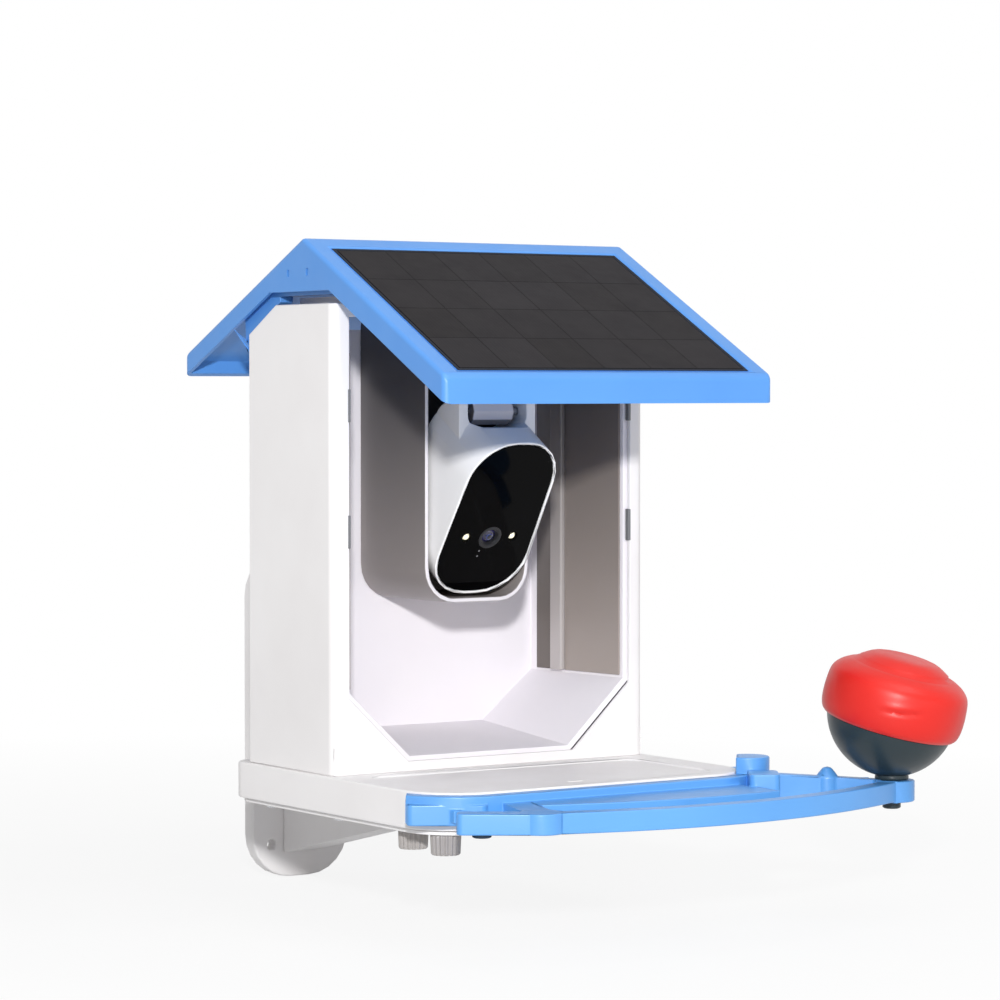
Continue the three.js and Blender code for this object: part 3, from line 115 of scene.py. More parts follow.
def ranged(tree, value, low, high, start=0.3, end=0.7):
    """A value brought from start and end to low and high."""
    return put(tree, "MapRange", {
        "Value": value, "From Min": start, "From Max": end, "To Min": low, "To Max": high}).outputs["Result"]


def sums(tree, operation, first, second=0.0):
    return put(tree, "Math", {0: first, 1: second}, operation=operation).outputs[0]


def apart(tree, vector):
    """The three shares of a vector, by their letters."""
    return put(tree, "SeparateXYZ", {0: vector}).outputs


def grouped(tree, group, sockets):
    return put(tree, "Group", sockets, node_tree=group).outputs


def noise(tree, where, scale, detail=2.0, roughness=0.5):
    return put(tree, "TexNoise", {
        "Vector": where, "Scale": scale, "Detail": detail, "Roughness": roughness}).outputs["Fac"]


def start_group(name, inputs, outputs):
    group = bpy.data.node_groups.new(name, "ShaderNodeTree")
    for label, kind, value in inputs:
        socket = group.interface.new_socket(label, in_out="INPUT", socket_type="NodeSocket" + kind)
        if value is not None:
            socket.default_value = value
    for label, kind in outputs:
        group.interface.new_socket(label, in_out="OUTPUT", socket_type="NodeSocket" + kind)
    return group, group.nodes.new("NodeGroupInput").outputs, group.nodes.new("NodeGroupOutput").inputs


def moulding_group():
    """Slow tone, patchy sheen and fine grain of a moulded surface."""
    group, given, out = start_group(
        "moulding", [("Vector", "Vector", None), ("Grain", "Float", 1500.0)],
        [("Tone", "Float"), ("Sheen", "Float"), ("Height", "Float")])
    group.links.new(noise(group, given["Vector"], 14.0, 3.0), out["Tone"])
    group.links.new(noise(group, given["Vector"], 75.0, 5.0, 0.62), out["Sheen"])
    group.links.new(noise(group, given["Vector"], given["Grain"], 2.0), out["Height"])
    return group


def dust_group():
    """A mask of the dust that settles on faces that look up."""
    group, given, out = start_group(
        "settled_dust", [("Vector", "Vector", None), ("Amount", "Float", 0.3)], [("Mask", "Float")])
    normal = put(group, "NewGeometry").outputs["Normal"]
    up = ranged(group, apart(group, normal)["Z"], 0.0, 1.0, 0.55, 1.0)
    patches = ranged(group, noise(group, given["Vector"], 42.0, 6.0, 0.7), 0.1, 1.0, 0.35, 0.7)
    settled = sums(group, "MULTIPLY", up, patches)
    group.links.new(sums(group, "MULTIPLY", settled, given["Amount"]), out["Mask"])
    return group


def scratches_group():
    """Fine hairlines, stretched along one direction."""
    group, given, out = start_group(
        "hairlines", [("Vector", "Vector", None), ("Stretch", "Vector", (60.0, 900.0, 900.0))],
        [("Mask", "Float"), ("Height", "Float")])
    stretched = put(group, "VectorMath", {0: given["Vector"], 1: given["Stretch"]}, operation="MULTIPLY")
    lines = noise(group, stretched.outputs[0], 1.0, 4.0, 0.6)
    group.links.new(ranged(group, lines, 0.0, 1.0, 0.6, 0.72), out["Mask"])
    group.links.new(lines, out["Height"])
    return group


def cell_group():
    """Cells of a solar panel: their seams, the thin silver fingers and a tone of each cell's own."""
    group, given, out = start_group(
        "solar_cells", [("Vector", "Vector", None), ("Seam", "Float", 0.02)],
        [("Seams", "Float"), ("Fingers", "Float"), ("Tone", "Float")])
    split = apart(group, given["Vector"])
    reach = sums(group, "SUBTRACT", 0.5, given["Seam"])
    edges = []
    for axis in ("X", "Y"):
        place = sums(group, "FRACT", split[axis])
        away = sums(group, "ABSOLUTE", sums(group, "SUBTRACT", place, 0.5))
        edges.append(sums(group, "GREATER_THAN", away, reach))
    group.links.new(sums(group, "MAXIMUM", edges[0], edges[1]), out["Seams"])
    rows = sums(group, "FRACT", sums(group, "MULTIPLY", split["X"], 14.0))
    group.links.new(sums(group, "LESS_THAN", rows, 0.1), out["Fingers"])
    cell = put(group, "VectorMath", {0: given["Vector"]}, operation="FLOOR").outputs[0]
    tone = put(group, "TexWhiteNoise", {"Vector": cell}, noise_dimensions="2D").outputs["Value"]
    group.links.new(tone, out["Tone"])
    return group


MOULDING = moulding_group()
DUST = dust_group()
HAIRLINES = scratches_group()
CELLS = cell_group()


# Materials
def start_material(name):
    """A material, its tree and main shader, and the place on the object."""
    material = bpy.data.materials.new(name)
    material.use_nodes = True
    tree = material.node_tree
    return material, tree, tree.nodes["Principled BSDF"], put(tree, "TexCoord").outputs["Object"]


def finish_surface(tree, shader, colour, roughness, height=None, relief=0.1, depth=0.0002):
    """Links colour, roughness and, where there is a height, a fine relief."""
    tree.links.new(colour, shader.inputs["Base Color"])
    tree.links.new(roughness, shader.inputs["Roughness"])
    if height is not None:
        bump = put(tree, "Bump", {"Strength": relief, "Distance": depth, "Height": height})
        tree.links.new(bump.outputs["Normal"], shader.inputs["Normal"])


def moulded(name, colour, deep, roughness, grain, relief=0.12, dust=0.0, specular=0.5):
    """Moulded plastic: a slow change of tone, patchy sheen, fine grain and a little settled dust."""
    material, tree, shader, where = start_material(name)
    mould = grouped(tree, MOULDING, {"Vector": where, "Grain": grain})
    tint = mixed(tree, ranged(tree, mould["Tone"], 0.0, 1.0), linear(deep), linear(colour))
    sheen = ranged(tree, mould["Sheen"], roughness - 0.05, roughness + 0.06)
    if dust:
        mask = grouped(tree, DUST, {"Vector": where, "Amount": dust})["Mask"]
        tint = mixed(tree, mask, tint, linear("#B9B2A6"))
        sheen = sums(tree, "ADD", sheen, sums(tree, "MULTIPLY", mask, 0.3))
    finish_surface(tree, shader, tint, sheen, mould["Height"], relief)
    shader.inputs["Specular IOR Level"].default_value = specular
    return material


def smoked_plastic(name, low_colour, high_colour, low, high, roughness, coat, rim=None):
    """Smoked plastic with painted shade: its colour ramps with height from the low colour to the high colour
    for the light and shade under the roof, with an optional pale front rim.
    """
    material, tree, shader, where = start_material(name)
    # Painted shade: the colour ramps with height between the low and high colours.
    rise = ranged(tree, apart(tree, where)["Z"], 0.0, 1.0, at(0, 0, low).z, at(0, 0, high).z)
    mould = grouped(tree, MOULDING, {"Vector": where, "Grain": 900.0})
    tint = mixed(tree, rise, linear(low_colour), linear(high_colour))
    tint = mixed(tree, ranged(tree, mould["Tone"], 0.0, 0.07), tint, linear("#9A8B7E"))
    if rim:
        normal = put(tree, "NewGeometry").outputs["Normal"]
        front = ranged(tree, apart(tree, normal)["Y"], 1.0, 0.0, -0.9, -0.5)
        near = ranged(tree, apart(tree, where)["Y"], 1.0, 0.0, at(0, 15, 0).y, at(0, 16, 0).y)
        tint = mixed(tree, sums(tree, "MULTIPLY", front, near), tint, linear(rim))
    sheen = ranged(tree, mould["Sheen"], roughness - 0.015, roughness + 0.015, 0.1, 0.9)
    finish_surface(tree, shader, tint, sheen, mould["Height"], 0.03)
    shader.inputs["Coat Weight"].default_value = coat
    shader.inputs["Coat Roughness"].default_value = 0.1
    return material


def solar_surface(name, corner, cell_width, cell_length):
    """Charcoal cells under a clear laminate, four rows down the slope and six columns."""
    material, tree, shader, where = start_material(name)
    local = put(tree, "Mapping", {
        "Vector": where, "Location": corner, "Rotation": (SLOPE, 0.0, 0.0),
        "Scale": (cell_width, cell_length, 1.0)}, vector_type="TEXTURE").outputs[0]
    cells = grouped(tree, CELLS, {"Vector": local, "Seam": 0.013})
    mould = grouped(tree, MOULDING, {"Vector": where, "Grain": 2600.0})
    tint = mixed(tree, cells["Tone"], linear("#242224"), linear("#2A282B"))
    tint = mixed(tree, sums(tree, "MULTIPLY", cells["Fingers"], 0.12), tint, linear("#4A464A"))
    tint = mixed(tree, cells["Seams"], tint, linear("#161417"))
    dust = grouped(tree, DUST, {"Vector": where, "Amount": 0.04})["Mask"]
    tint = mixed(tree, dust, tint, linear("#6B645E"))
    finish_surface(tree, shader, tint, ranged(tree, mould["Sheen"], 0.3, 0.42), cells["Seams"], 0.25, 0.0001)
    shader.inputs["Specular IOR Level"].default_value = 0.02
    return material


def window_glass(name):
    """Polished black glass with faint wiping marks."""
    material, tree, shader, where = start_material(name)
    lines = grouped(tree, HAIRLINES, {"Vector": where, "Stretch": (700.0, 90.0, 160.0)})
    mould = grouped(tree, MOULDING, {"Vector": where, "Grain": 400.0})
    tint = mixed(tree, ranged(tree, mould["Tone"], 0.0, 1.0), linear("#020202"), linear("#040405"))
    finish_surface(tree, shader, tint, ranged(tree, lines["Mask"], 0.05, 0.09, 0.0, 1.0))
    shader.inputs["Specular IOR Level"].default_value = 0.05
    return material


def lens_glass(name):
    """A coated lens, dark in the middle, with blue and violet rings painted in as the coating's reflections.
    """
    material, tree, shader, where = start_material(name)
    middle = glass_point(0, 0, -LENS_DROP)
    local = put(tree, "Mapping", {
        "Vector": where, "Location": middle, "Rotation": (GLASS_TILT, 0.0, 0.0),
        "Scale": (0.004, 0.03, 0.004)}, vector_type="TEXTURE").outputs[0]
    away = put(tree, "VectorMath", {0: local}, operation="LENGTH").outputs["Value"]
    ramp = put(tree, "ValToRGB", {"Fac": away})
    stops = ramp.color_ramp.elements
    stops[0].position, stops[0].color = 0.0, linear("#05060B")
    stops[1].position, stops[1].color = 1.0, linear("#08080C")
    # Painted reflection: the blue and violet rings stand in for light reflected by the lens coating.
    painted_reflection_rings = ((0.28, "#0B0D1C"), (0.42, "#2C3A78"), (0.5, "#131735"), (0.72, "#1D1A3C"), (0.85, "#3A3768"))
    for place, code in painted_reflection_rings:
        stops.new(place).color = linear(code)
    mould = grouped(tree, MOULDING, {"Vector": where, "Grain": 900.0})
    finish_surface(tree, shader, ramp.outputs["Color"], ranged(tree, mould["Sheen"], 0.03, 0.06))
    shader.inputs["Coat Weight"].default_value = 0.8
    shader.inputs["Coat Roughness"].default_value = 0.03
    return material


def lamp_plastic(name):
    """A clear pale lamp lens with a faint glow that paints in its highlight."""
    material, tree, shader, where = start_material(name)
    mould = grouped(tree, MOULDING, {"Vector": where, "Grain": 2500.0})
    tint = mixed(tree, ranged(tree, mould["Tone"], 0.0, 1.0), linear("#FFF6D2"), linear("#FFFDF0"))
    finish_surface(tree, shader, tint, ranged(tree, mould["Sheen"], 0.1, 0.2), mould["Height"], 0.05)
    # Painted highlight: the faint glow stands in for the light that the lens catches.
    shader.inputs["Emission Color"].default_value = linear("#FFF4CC")
    shader.inputs["Emission Strength"].default_value = 0.35
    return material


def machined_steel(name):
    """Bright steel with turning lines and a few dull spots."""
    material, tree, shader, where = start_material(name)
    lines = grouped(tree, HAIRLINES, {"Vector": where, "Stretch": (900.0, 900.0, 90.0)})
    mould = grouped(tree, MOULDING, {"Vector": where, "Grain": 1200.0})
    tint = mixed(tree, ranged(tree, mould["Sheen"], 0.0, 1.0), linear("#B9BBBF"), linear("#DADBDE"))
    finish_surface(tree, shader, tint, ranged(tree, lines["Height"], 0.2, 0.36), lines["Height"], 0.1)
    shader.inputs["Metallic"].default_value = 1.0
    return material


def soft_rubber(name, colour, worn):
    """Dull rubber with a fine stipple and paler rubbed patches."""
    material, tree, shader, where = start_material(name)
    mould = grouped(tree, MOULDING, {"Vector": where, "Grain": 2200.0})
    tint = mixed(tree, ranged(tree, mould["Sheen"], 0.0, 1.0, 0.5, 0.75), linear(colour), linear(worn))
    finish_surface(tree, shader, tint, ranged(tree, mould["Sheen"], 0.72, 0.88), mould["Height"], 0.3)
    shader.inputs["Specular IOR Level"].default_value = 0.3
    return material


def circuit_laminate(name):
    """Green solder mask over copper tracks."""
    material, tree, shader, where = start_material(name)
    tracks = put(tree, "TexBrick", {
        "Vector": where, "Scale": 260.0, "Mortar Size": 0.03, "Color1": linear("#1D5B39"),
        "Color2": linear("#236A43"), "Mortar": linear("#5E9A4E")})
    mould = grouped(tree, MOULDING, {"Vector": where, "Grain": 900.0})
    tint = mixed(tree, ranged(tree, mould["Tone"], 0.0, 0.4), tracks.outputs["Color"], linear("#174A2E"))
    finish_surface(tree, shader, tint, ranged(tree, mould["Sheen"], 0.3, 0.42), tracks.outputs["Fac"], 0.3)
    return material


def wrapped_foil(name):
    """The plain blue wrap of a battery cell, a little creased."""
    material, tree, shader, where = start_material(name)
    creases = noise(tree, where, 120.0, 3.0, 0.7)
    mould = grouped(tree, MOULDING, {"Vector": where, "Grain": 900.0})
    tint = mixed(tree, ranged(tree, mould["Tone"], 0.0, 1.0), linear("#2E4468"), linear("#43608C"))
    finish_surface(tree, shader, tint, ranged(tree, creases, 0.25, 0.45), creases, 0.5, 0.0004)
    shader.inputs["Metallic"].default_value = 0.35
    return material


def glass_point(x, depth, rise):
    """A point given square to the camera's glass: across it, into it and up it."""
    turn = Matrix.Rotation(GLASS_TILT, 3, "X")
    return at(0, GLASS_Y, GLASS_Z) + turn @ Vector((x * MM, depth * MM, rise * MM))


def slope_point(x, down):
    """A point on the roof's front slope, measured down from the ridge."""
    turn = Matrix.Rotation(SLOPE, 3, "X")
    return at(0, RIDGE_Y, RIDGE_Z) + turn @ Vector((x * MM, -down * MM, 0))


# The finish of each material slot, and a few more for single pieces
finishes = {
    "white_plastic": moulded("white_shell_plastic", "#F1EFEF", "#E9E6E6", 0.42, 1400.0, 0.1, dust=0.1),
    "bay_plastic": moulded("bay_plastic", "#F1EDF1", "#ECE8ED", 0.48, 1300.0, 0.12),
    # Painted shade: on the camera pocket the dark smoke and its ramp stand in for the shade in the bay; the
    # pale front rim is the moulding's own colour.
    "pocket_smoke": smoked_plastic(
        "pocket_painted_shade_plastic", "#A09997", "#545152", 84, 190, 0.42, 0.0, rim="#E4E0E4"),
    # Painted shade: the smoked panels, rear panels and side posts ramp in colour with height for the light
    # and shade that fall on them.
    "smoked_plastic": smoked_plastic("smoked_panel_painted_shade", "#A0968F", "#6E6764", 45, 185, 0.36, 0.1),
    "rear_smoke_painted_shade": smoked_plastic("rear_panel_painted_shade", "#655E59", "#8C8887", 60, 190, 0.36, 0.1),
    "post_smoke_painted_shade": smoked_plastic("side_post_painted_shade", "#B9B3B1", "#77706C", 60, 190, 0.3, 0.3),
    "camera_white": moulded("camera_white_plastic", "#FFFFFF", "#FCFBFB", 0.34, 1500.0, 0.06),
    "catch_grey": moulded("catch_grey_plastic", "#77787B", "#6C6D70", 0.45, 1200.0, 0.15),
    "roof_blue": moulded("roof_blue_plastic", "#5896DE", "#518FD8", 0.4, 1200.0, 0.12),
    "solar_cells": solar_surface(
        "solar_cell_laminate", slope_point(-PANEL_WIDTH / 2, PANEL_DOWN),
        PANEL_WIDTH / CELL_COLUMNS * MM, PANEL_LENGTH / CELL_ROWS * MM),
    "solar_seal": soft_rubber("black_seal_rubber", "#151B26", "#232A36"),
    "black_glass": window_glass("camera_window_glass"),
    "black_plastic": moulded("lens_barrel_plastic", "#1B1B1E", "#121214", 0.4, 1800.0, 0.2),
    "lens_glass": lens_glass("coated_lens_glass"),
    "lamp_clear": lamp_plastic("lamp_lens_painted_glow"),
    "board_green": circuit_laminate("circuit_board_laminate"),
    "battery_wrap": wrapped_foil("battery_wrap"),
    "grey_rubber": soft_rubber("grey_gasket_rubber", "#303235", "#45474A"),
    "screw_steel": machined_steel("screw_steel"),
    "perch_blue": moulded("perch_blue_plastic", "#5AA0E4", "#5398DC", 0.4, 1200.0, 0.12, specular=0.85),
    "plug_dark": soft_rubber("plug_rubber", "#223040", "#33435A"),
    "knob_grey": moulded("knob_grey_plastic", "#A5A09D", "#959090", 0.42, 1100.0, 0.2),
    "cup_dark": moulded("bowl_dark_plastic", "#2C383C", "#263237", 0.36, 1300.0, 0.1, specular=0.35),
    "lid_red": moulded("lid_red_plastic", "#DC261D", "#D22018", 0.4, 1100.0, 0.14, specular=0.4),
}


# Modelling helpers
def pick(piece):
    """Selects one piece and makes it the active one."""
    bpy.ops.object.select_all(action="DESELECT")
    piece.select_set(True)
    bpy.context.view_layer.objects.active = piece
    return piece


def edit(piece):
    """Opens a piece for editing, with everything selected."""
    pick(piece)
    bpy.ops.object.mode_set(mode="EDIT")
    bpy.ops.mesh.select_all(action="SELECT")


def leave():
    bpy.ops.object.mode_set(mode="OBJECT")


def apply_all(piece):
    pick(piece)
    for modifier in list(piece.modifiers):
        bpy.ops.object.modifier_apply(modifier=modifier.name)


def weigh_edges(piece, share, sharp):
    """Gives each sharp edge its share of the edge radius."""
    mesh = bmesh.new()
    mesh.from_mesh(piece.data)
    layers = mesh.edges.layers.float
    weights = layers.get("bevel_weight_edge") or layers.new("bevel_weight_edge")
    for line in mesh.edges:
        line[weights] = 0
        if len(line.link_faces) == 2 and line.calc_face_angle(0) > math.radians(sharp):
            middle = (line.verts[0].co + line.verts[1].co) / 2
            line[weights] = share(middle, [face.normal for face in line.link_faces])
    mesh.to_mesh(piece.data)
    mesh.free()


def drop_flaps(piece):
    """Removes slivers, and the loose faces that they leave behind."""
    edit(piece)
    bpy.ops.mesh.dissolve_degenerate(threshold=SLIVER * MM)
    leave()
    mesh = bmesh.new()
    mesh.from_mesh(piece.data)
    flaps = {face for line in mesh.edges if line.is_boundary for face in line.link_faces}
    bmesh.ops.delete(mesh, geom=list(flaps), context="FACES")
    mesh.to_mesh(piece.data)
    mesh.free()


def rounded(piece, edge, share, steps=3, sharp=SHARP_ANGLE):
    """Rounds each sharp edge by the share that its middle and its faces' normals give.

    A point that the rounding throws off the old form goes back to it, and none leaves the old box.
    """
    form = BVHTree.FromPolygons(
        [vertex.co.copy() for vertex in piece.data.vertices],
        [list(face.vertices) for face in piece.data.polygons])
    corners = [piece.matrix_world @ Vector(corner) for corner in piece.bound_box]
    low = [min(corner[i] for corner in corners) for i in range(3)]
    high = [max(corner[i] for corner in corners) for i in range(3)]
    weigh_edges(piece, share, sharp)
    bevel = piece.modifiers.new("rounded_edges", "BEVEL")
    bevel.width = edge * MM
    bevel.segments = steps
    bevel.limit_method = "WEIGHT"
    bevel.use_clamp_overlap = False
    apply_all(piece)
    for vertex in piece.data.vertices:
        nearest, _, _, distance = form.find_nearest(vertex.co)
        if distance > SPIKE_SHARE * edge * MM:
            vertex.co = nearest
        vertex.co = [min(max(vertex.co[i], low[i]), high[i]) for i in range(3)]
    drop_flaps(piece)
    return piece


def softened(piece, edge, steps=3, sharp=SHARP_ANGLE):
    """Rounds the edges of a finished form and shades it as one moulded surface."""
    if edge:
        rounded(piece, edge, lambda middle, normals: 1, steps, sharp)
    pick(piece)
    bpy.ops.object.shade_smooth_by_angle(angle=math.radians(SMOOTH_ANGLE))
    weigh = piece.modifiers.new("flat_faces_stay_flat", "WEIGHTED_NORMAL")
    weigh.keep_sharp = True
    apply_all(piece)
    return piece


def stand_for(piece, node, finish=None):
    """The piece takes a CAD node's place, body and finish."""
    piece.data.materials.clear()
    piece.data.materials.append(finishes[finish or slot_of[node]])
    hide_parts(node)
    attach(piece, body_of[node])
    return piece


def add_detail(piece, node, finish):
    """A small extra piece on the same body as a CAD node."""
    piece.data.materials.clear()
    piece.data.materials.append(finishes[finish])
    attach(piece, body_of[node])
    return piece


def merged_copy(node, name):
    """A copy of a CAD node's form with its seams merged; the node itself stays as it is."""
    piece = bpy.data.objects.new(name, nodes[node].data.copy())
    bpy.context.scene.collection.objects.link(piece)
    edit(piece)
    bpy.ops.mesh.remove_doubles(threshold=SEAM * MM)
    leave()
    return piece


def carve(piece, cutter):
    """Cuts one form out of another and removes the cutter."""
    cut = piece.modifiers.new("cut", "BOOLEAN")
    cut.operation = "DIFFERENCE"
    cut.object = cutter
    apply_all(piece)
    bpy.data.objects.remove(cutter)


def turned(name, stations, steps):
    """A form turned about the z axis: a disc extruded through (radius, height) stations."""
    radius, height = stations[0]
    bpy.ops.mesh.primitive_circle_add(
        vertices=steps, radius=radius * MM, fill_type="NGON", location=(0, 0, height * MM))
    piece = bpy.context.object
    piece.name = name
    bpy.ops.object.transform_apply(location=True, rotation=True, scale=True)
    edit(piece)
    for (last_radius, last_height), (radius, height) in zip(stations, stations[1:]):
        lift = (0, 0, (height - last_height) * MM)
        bpy.ops.mesh.extrude_region_move(TRANSFORM_OT_translate={"value": lift})
        share = radius / last_radius
        bpy.ops.transform.resize(value=(share, share, 1), center_override=(0, 0, height * MM))
    bpy.ops.mesh.select_all(action="SELECT")
    bpy.ops.mesh.normals_make_consistent(inside=False)
    leave()
    return piece


def moved(piece, matrix):
    piece.data.transform(matrix)
    return piece


def copied(piece, name):
    other = bpy.data.objects.new(name, piece.data.copy())
    bpy.context.scene.collection.objects.link(other)
    return other


def turned_about(piece, direction, place):
    """Lays a form that was turned about z along a direction, with its zero height at a place."""
    turn = direction.to_track_quat("Z", "Y").to_matrix().to_4x4()
    return moved(piece, Matrix.Translation(place) @ turn)


def rounded_block(name, low, high, edge, steps=3):
    """A block between two corners with rounded edges."""
    middle = (low + high) / 2
    bpy.ops.mesh.primitive_cube_add(size=1, location=middle, scale=high - low)
    piece = bpy.context.object
    piece.name = name
    bpy.ops.object.transform_apply(location=True, rotation=True, scale=True)
    return softened(piece, edge, steps)


# Moulded pieces: the CAD forms with their edges rounded over
# Node and edge radius in millimetres
moulded_edges = {
    "back_panel": 0.5, "feeding_bay": 0.3, "side_post_left": 0.9, "side_post_right": 0.9,
    "side_panel_left_front": 0.3, "side_panel_left_rear": 0.3, "side_panel_right_front": 0.3,
    "side_panel_right_rear": 0.3, "camera_pocket": 0.7, "camera_rear_cover": 0.5, "tray": 1.0,
    "base_plate": 0.5, "perch_frame": 0.7, "bracket_plate": 1.2, "bracket_arm": 0.9,
    "junction_box": 0.7, "battery": 0.9, "circuit_board": 0.2, "solar_panel": 0.3, "solar_seal": 0.2,
    "charge_port": 0.2,
}


def moulded_pieces():
    """The plain mouldings, a few in a finish of their own."""
    own_finish = {
        "side_post_left": "post_smoke_painted_shade", "side_post_right": "post_smoke_painted_shade",
        "camera_rear_cover": "camera_white",
        "side_panel_left_rear": "rear_smoke_painted_shade", "side_panel_right_rear": "rear_smoke_painted_shade"}
    for node, edge in moulded_edges.items():
        stand_for(softened(merged_copy(node, node + "_moulding"), edge), node, own_finish.get(node))


def house_moulding():
    """The house, rounded on its outer edges and round the front opening, not on the posts inside."""
    outer_wall, front_depth, gable_foot = 92.4, 3, 228

    def share(middle, normals):
        x, y, z = abs(middle.x) / MM, middle.y / MM + PLATE_BACK, middle.z / MM + PLATE_MIDDLE
        return 1 if x > outer_wall or y < front_depth or z > gable_foot else 0
    house = rounded(merged_copy("house_shell", "house_shell_moulding"), 0.6, share)
    stand_for(softened(house, 0), "house_shell")


def camera_moulding():
    """The camera's front pieces, a little wider at the foot of the glass than at its top."""
    taper, lowest, highest = 0.0011, -45, 30
    middle = glass_point(0, 0, 0)
    up = (glass_point(0, 0, 1) - middle) / MM
    for node, edge in (("camera_housing", 0.5), ("camera_glass", 0.4), ("camera_gasket", 0.2)):
        piece = softened(merged_copy(node, node + "_moulding"), edge)
        for vertex in piece.data.vertices:
            rise = (vertex.co - middle).dot(up) / MM
            vertex.co.x *= 1 - taper * min(max(rise, lowest), highest)
        stand_for(piece, node, "camera_white" if node == "camera_housing" else None)


def roof_moulding():
    """The roof with large radii at its eaves and corners and two small openings in each gable."""
    roof = merged_copy("roof_shell", "roof_shell_moulding")

    def corner(middle, normals):
        if max(normal.z for normal in normals) > 0.5:
            return 1 if max(abs(normal.y) for normal in normals) > 0.95 else 0
        upright = max(abs(normal.z) for normal in normals) < 0.1
        return 1 if upright and abs(middle.x) > (ROOF_HALF - 0.1) * MM else 0
    rounded(roof, 3.4, corner, 6)

    def share(middle, normals):
        if normals[0].dot(normals[1]) < -0.3:
            return 0
        return 1 if max(normal.z for normal in normals) > 0.5 else 0.15
    rounded(roof, 2.2, share, 5)
    reach = Vector((1.8, 1, 1.8)) * MM
    for side in (-1, 1):
        for y, z in ((37.5, 243.6), (19.6, 243.9)):
            middle = at(side * GABLE_MIDDLE, y, z)
            carve(roof, rounded_block("gable_cut", middle - reach, middle + reach, 0.5, 2))
    stand_for(softened(roof, 0), "roof_shell")


# Turned pieces: cup, lamps, lens, pins and screws
def arc(radius, start, end, count):
    """Stations on an arc between two angles in degrees, never nearer the axis than half a millimetre."""
    angles = [math.radians(start + (end - start) * i / count) for i in range(count + 1)]
    return [(max(radius * math.cos(a), 0.5), radius * math.sin(a)) for a in angles]


def eased(points, between):
    """A smooth curve through the points."""
    out = []
    for i in range(len(points) - 1):
        places = (max(0, min(len(points) - 1, k)) for k in range(i - 1, i + 3))
        before, a, b, after = (Vector(points[place]) for place in places)
        bend, turn = 2 * before - 5 * a + 4 * b - after, 3 * a - before - 3 * b + after
        for step in range(between):
            s = step / between
            out.append(tuple(0.5 * (2 * a + (b - before) * s + bend * s ** 2 + turn * s ** 3)))
    return out + [tuple(points[-1])]


def treat_bowl():
    """The bowl with its thick rim, the foot that turns on the boss, and the nut below it."""
    rim = [(29.9, -6.8), (29.9, 0), (28, 0)]
    stations = arc(31.8, -89, -12.4, 20) + rim + arc(29.6, -18.9, -89, 18)
    bowl = softened(turned("treat_bowl", stations, 96), 0.35, 2, 40)
    turned_about(bowl, CUP_AXIS, at(CUP_X, CUP_Y, BALL_Z))
    stand_for(bowl, "cup_bowl")
    foot = turned("treat_bowl_foot", [
        (2.3, -13.2), (2.6, -12.8), (2.6, 0.3), (8, 0.3), (8.3, 0.7), (8.3, 1.6), (8, 3), (8.6, 4.4),
        (10, 5)], 64)
    moved(softened(foot, 0), Matrix.Translation(at(CUP_X, CUP_Y, BOSS_TOP)))
    add_detail(foot, "cup_bowl", "cup_dark")
    nut = turned("cup_nut_cap", [
        (3.6, -3.4), (4.5, -2.8), (4.5, -0.3), (4.2, 0), (2.9, 0), (2.9, -2.6), (0.5, -2.6)], 48)
    top = at(CUP_X, CUP_Y, 0)
    top.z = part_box("cup_nut")[1].z
    moved(softened(nut, 0.15, 2), Matrix.Translation(top))
    stand_for(nut, "cup_nut")


def treat_lid():
    """The lid, with its step only on the right and a pair of shallow finger creases in front."""
    inner = [
        (0.5, 26.3), (15, 25.3), (20.4, 22.6), (24.6, 19.9), (29.6, 17.2), (32.3, 13.6), (33.1, 7),
        (33, 0.5)]
    side = [
        (32.6, -6.5), (34.2, -4.5), (35.2, 0), (35.3, 7), (34.3, 14.5), (31.4, 18.5), (27.5, 21), (25, 22)]
    crown = [(22.2, 24), (16, 27.4), (8, 28.4), (0.5, 28.5)]
    lip = [(30.7, 0.5), (30.7, -6.5)]
    step_radius, step_height, step_drop = 22.5, 22, 1.5
    stations = eased(inner, 2) + lip + eased(side, 6) + [(step_radius, step_height)] + eased(crown, 4)
    lid = turned("treat_lid", stations, 144)
    right = Vector((0.828, -0.56, 0))
    for vertex in lid.data.vertices:
        x, y, z = vertex.co / MM
        reach = math.hypot(x, y)
        if abs(reach - step_radius) < 0.2 and abs(z - step_height) < 0.1:
            facing = (x * right.x + y * right.y) / reach
            share = min(max((facing - 0.35) / 0.5, 0), 1)
            vertex.co.z += step_drop * MM * (1 - share * share * (3 - 2 * share))
    centre = at(CUP_X, CUP_Y, BALL_Z)
    turned_about(lid, CUP_AXIS, centre)
    toward = Vector((-0.5605, -0.8275, 0))
    front_reach, outer_skin, crease_depth = 15, 33.9, 0.75
    for vertex in lid.data.vertices:
        offset = (vertex.co - centre) / MM
        along, up, out = offset.dot(right), offset.z, offset.dot(toward)
        if out < front_reach or offset.length < outer_skin:
            continue
        fade = math.exp(-((along - 1) / 9) ** 4)
        line = up - (2.2 - 0.12 * along + 0.006 * along * along)
        crease = math.exp(-(line / 0.8) ** 2) - 0.55 * math.exp(-((line - 2.6) / 1.3) ** 2)
        vertex.co -= offset.normalized() * (crease_depth * MM * crease * fade)
    stand_for(softened(lid, 0), "cup_lid")


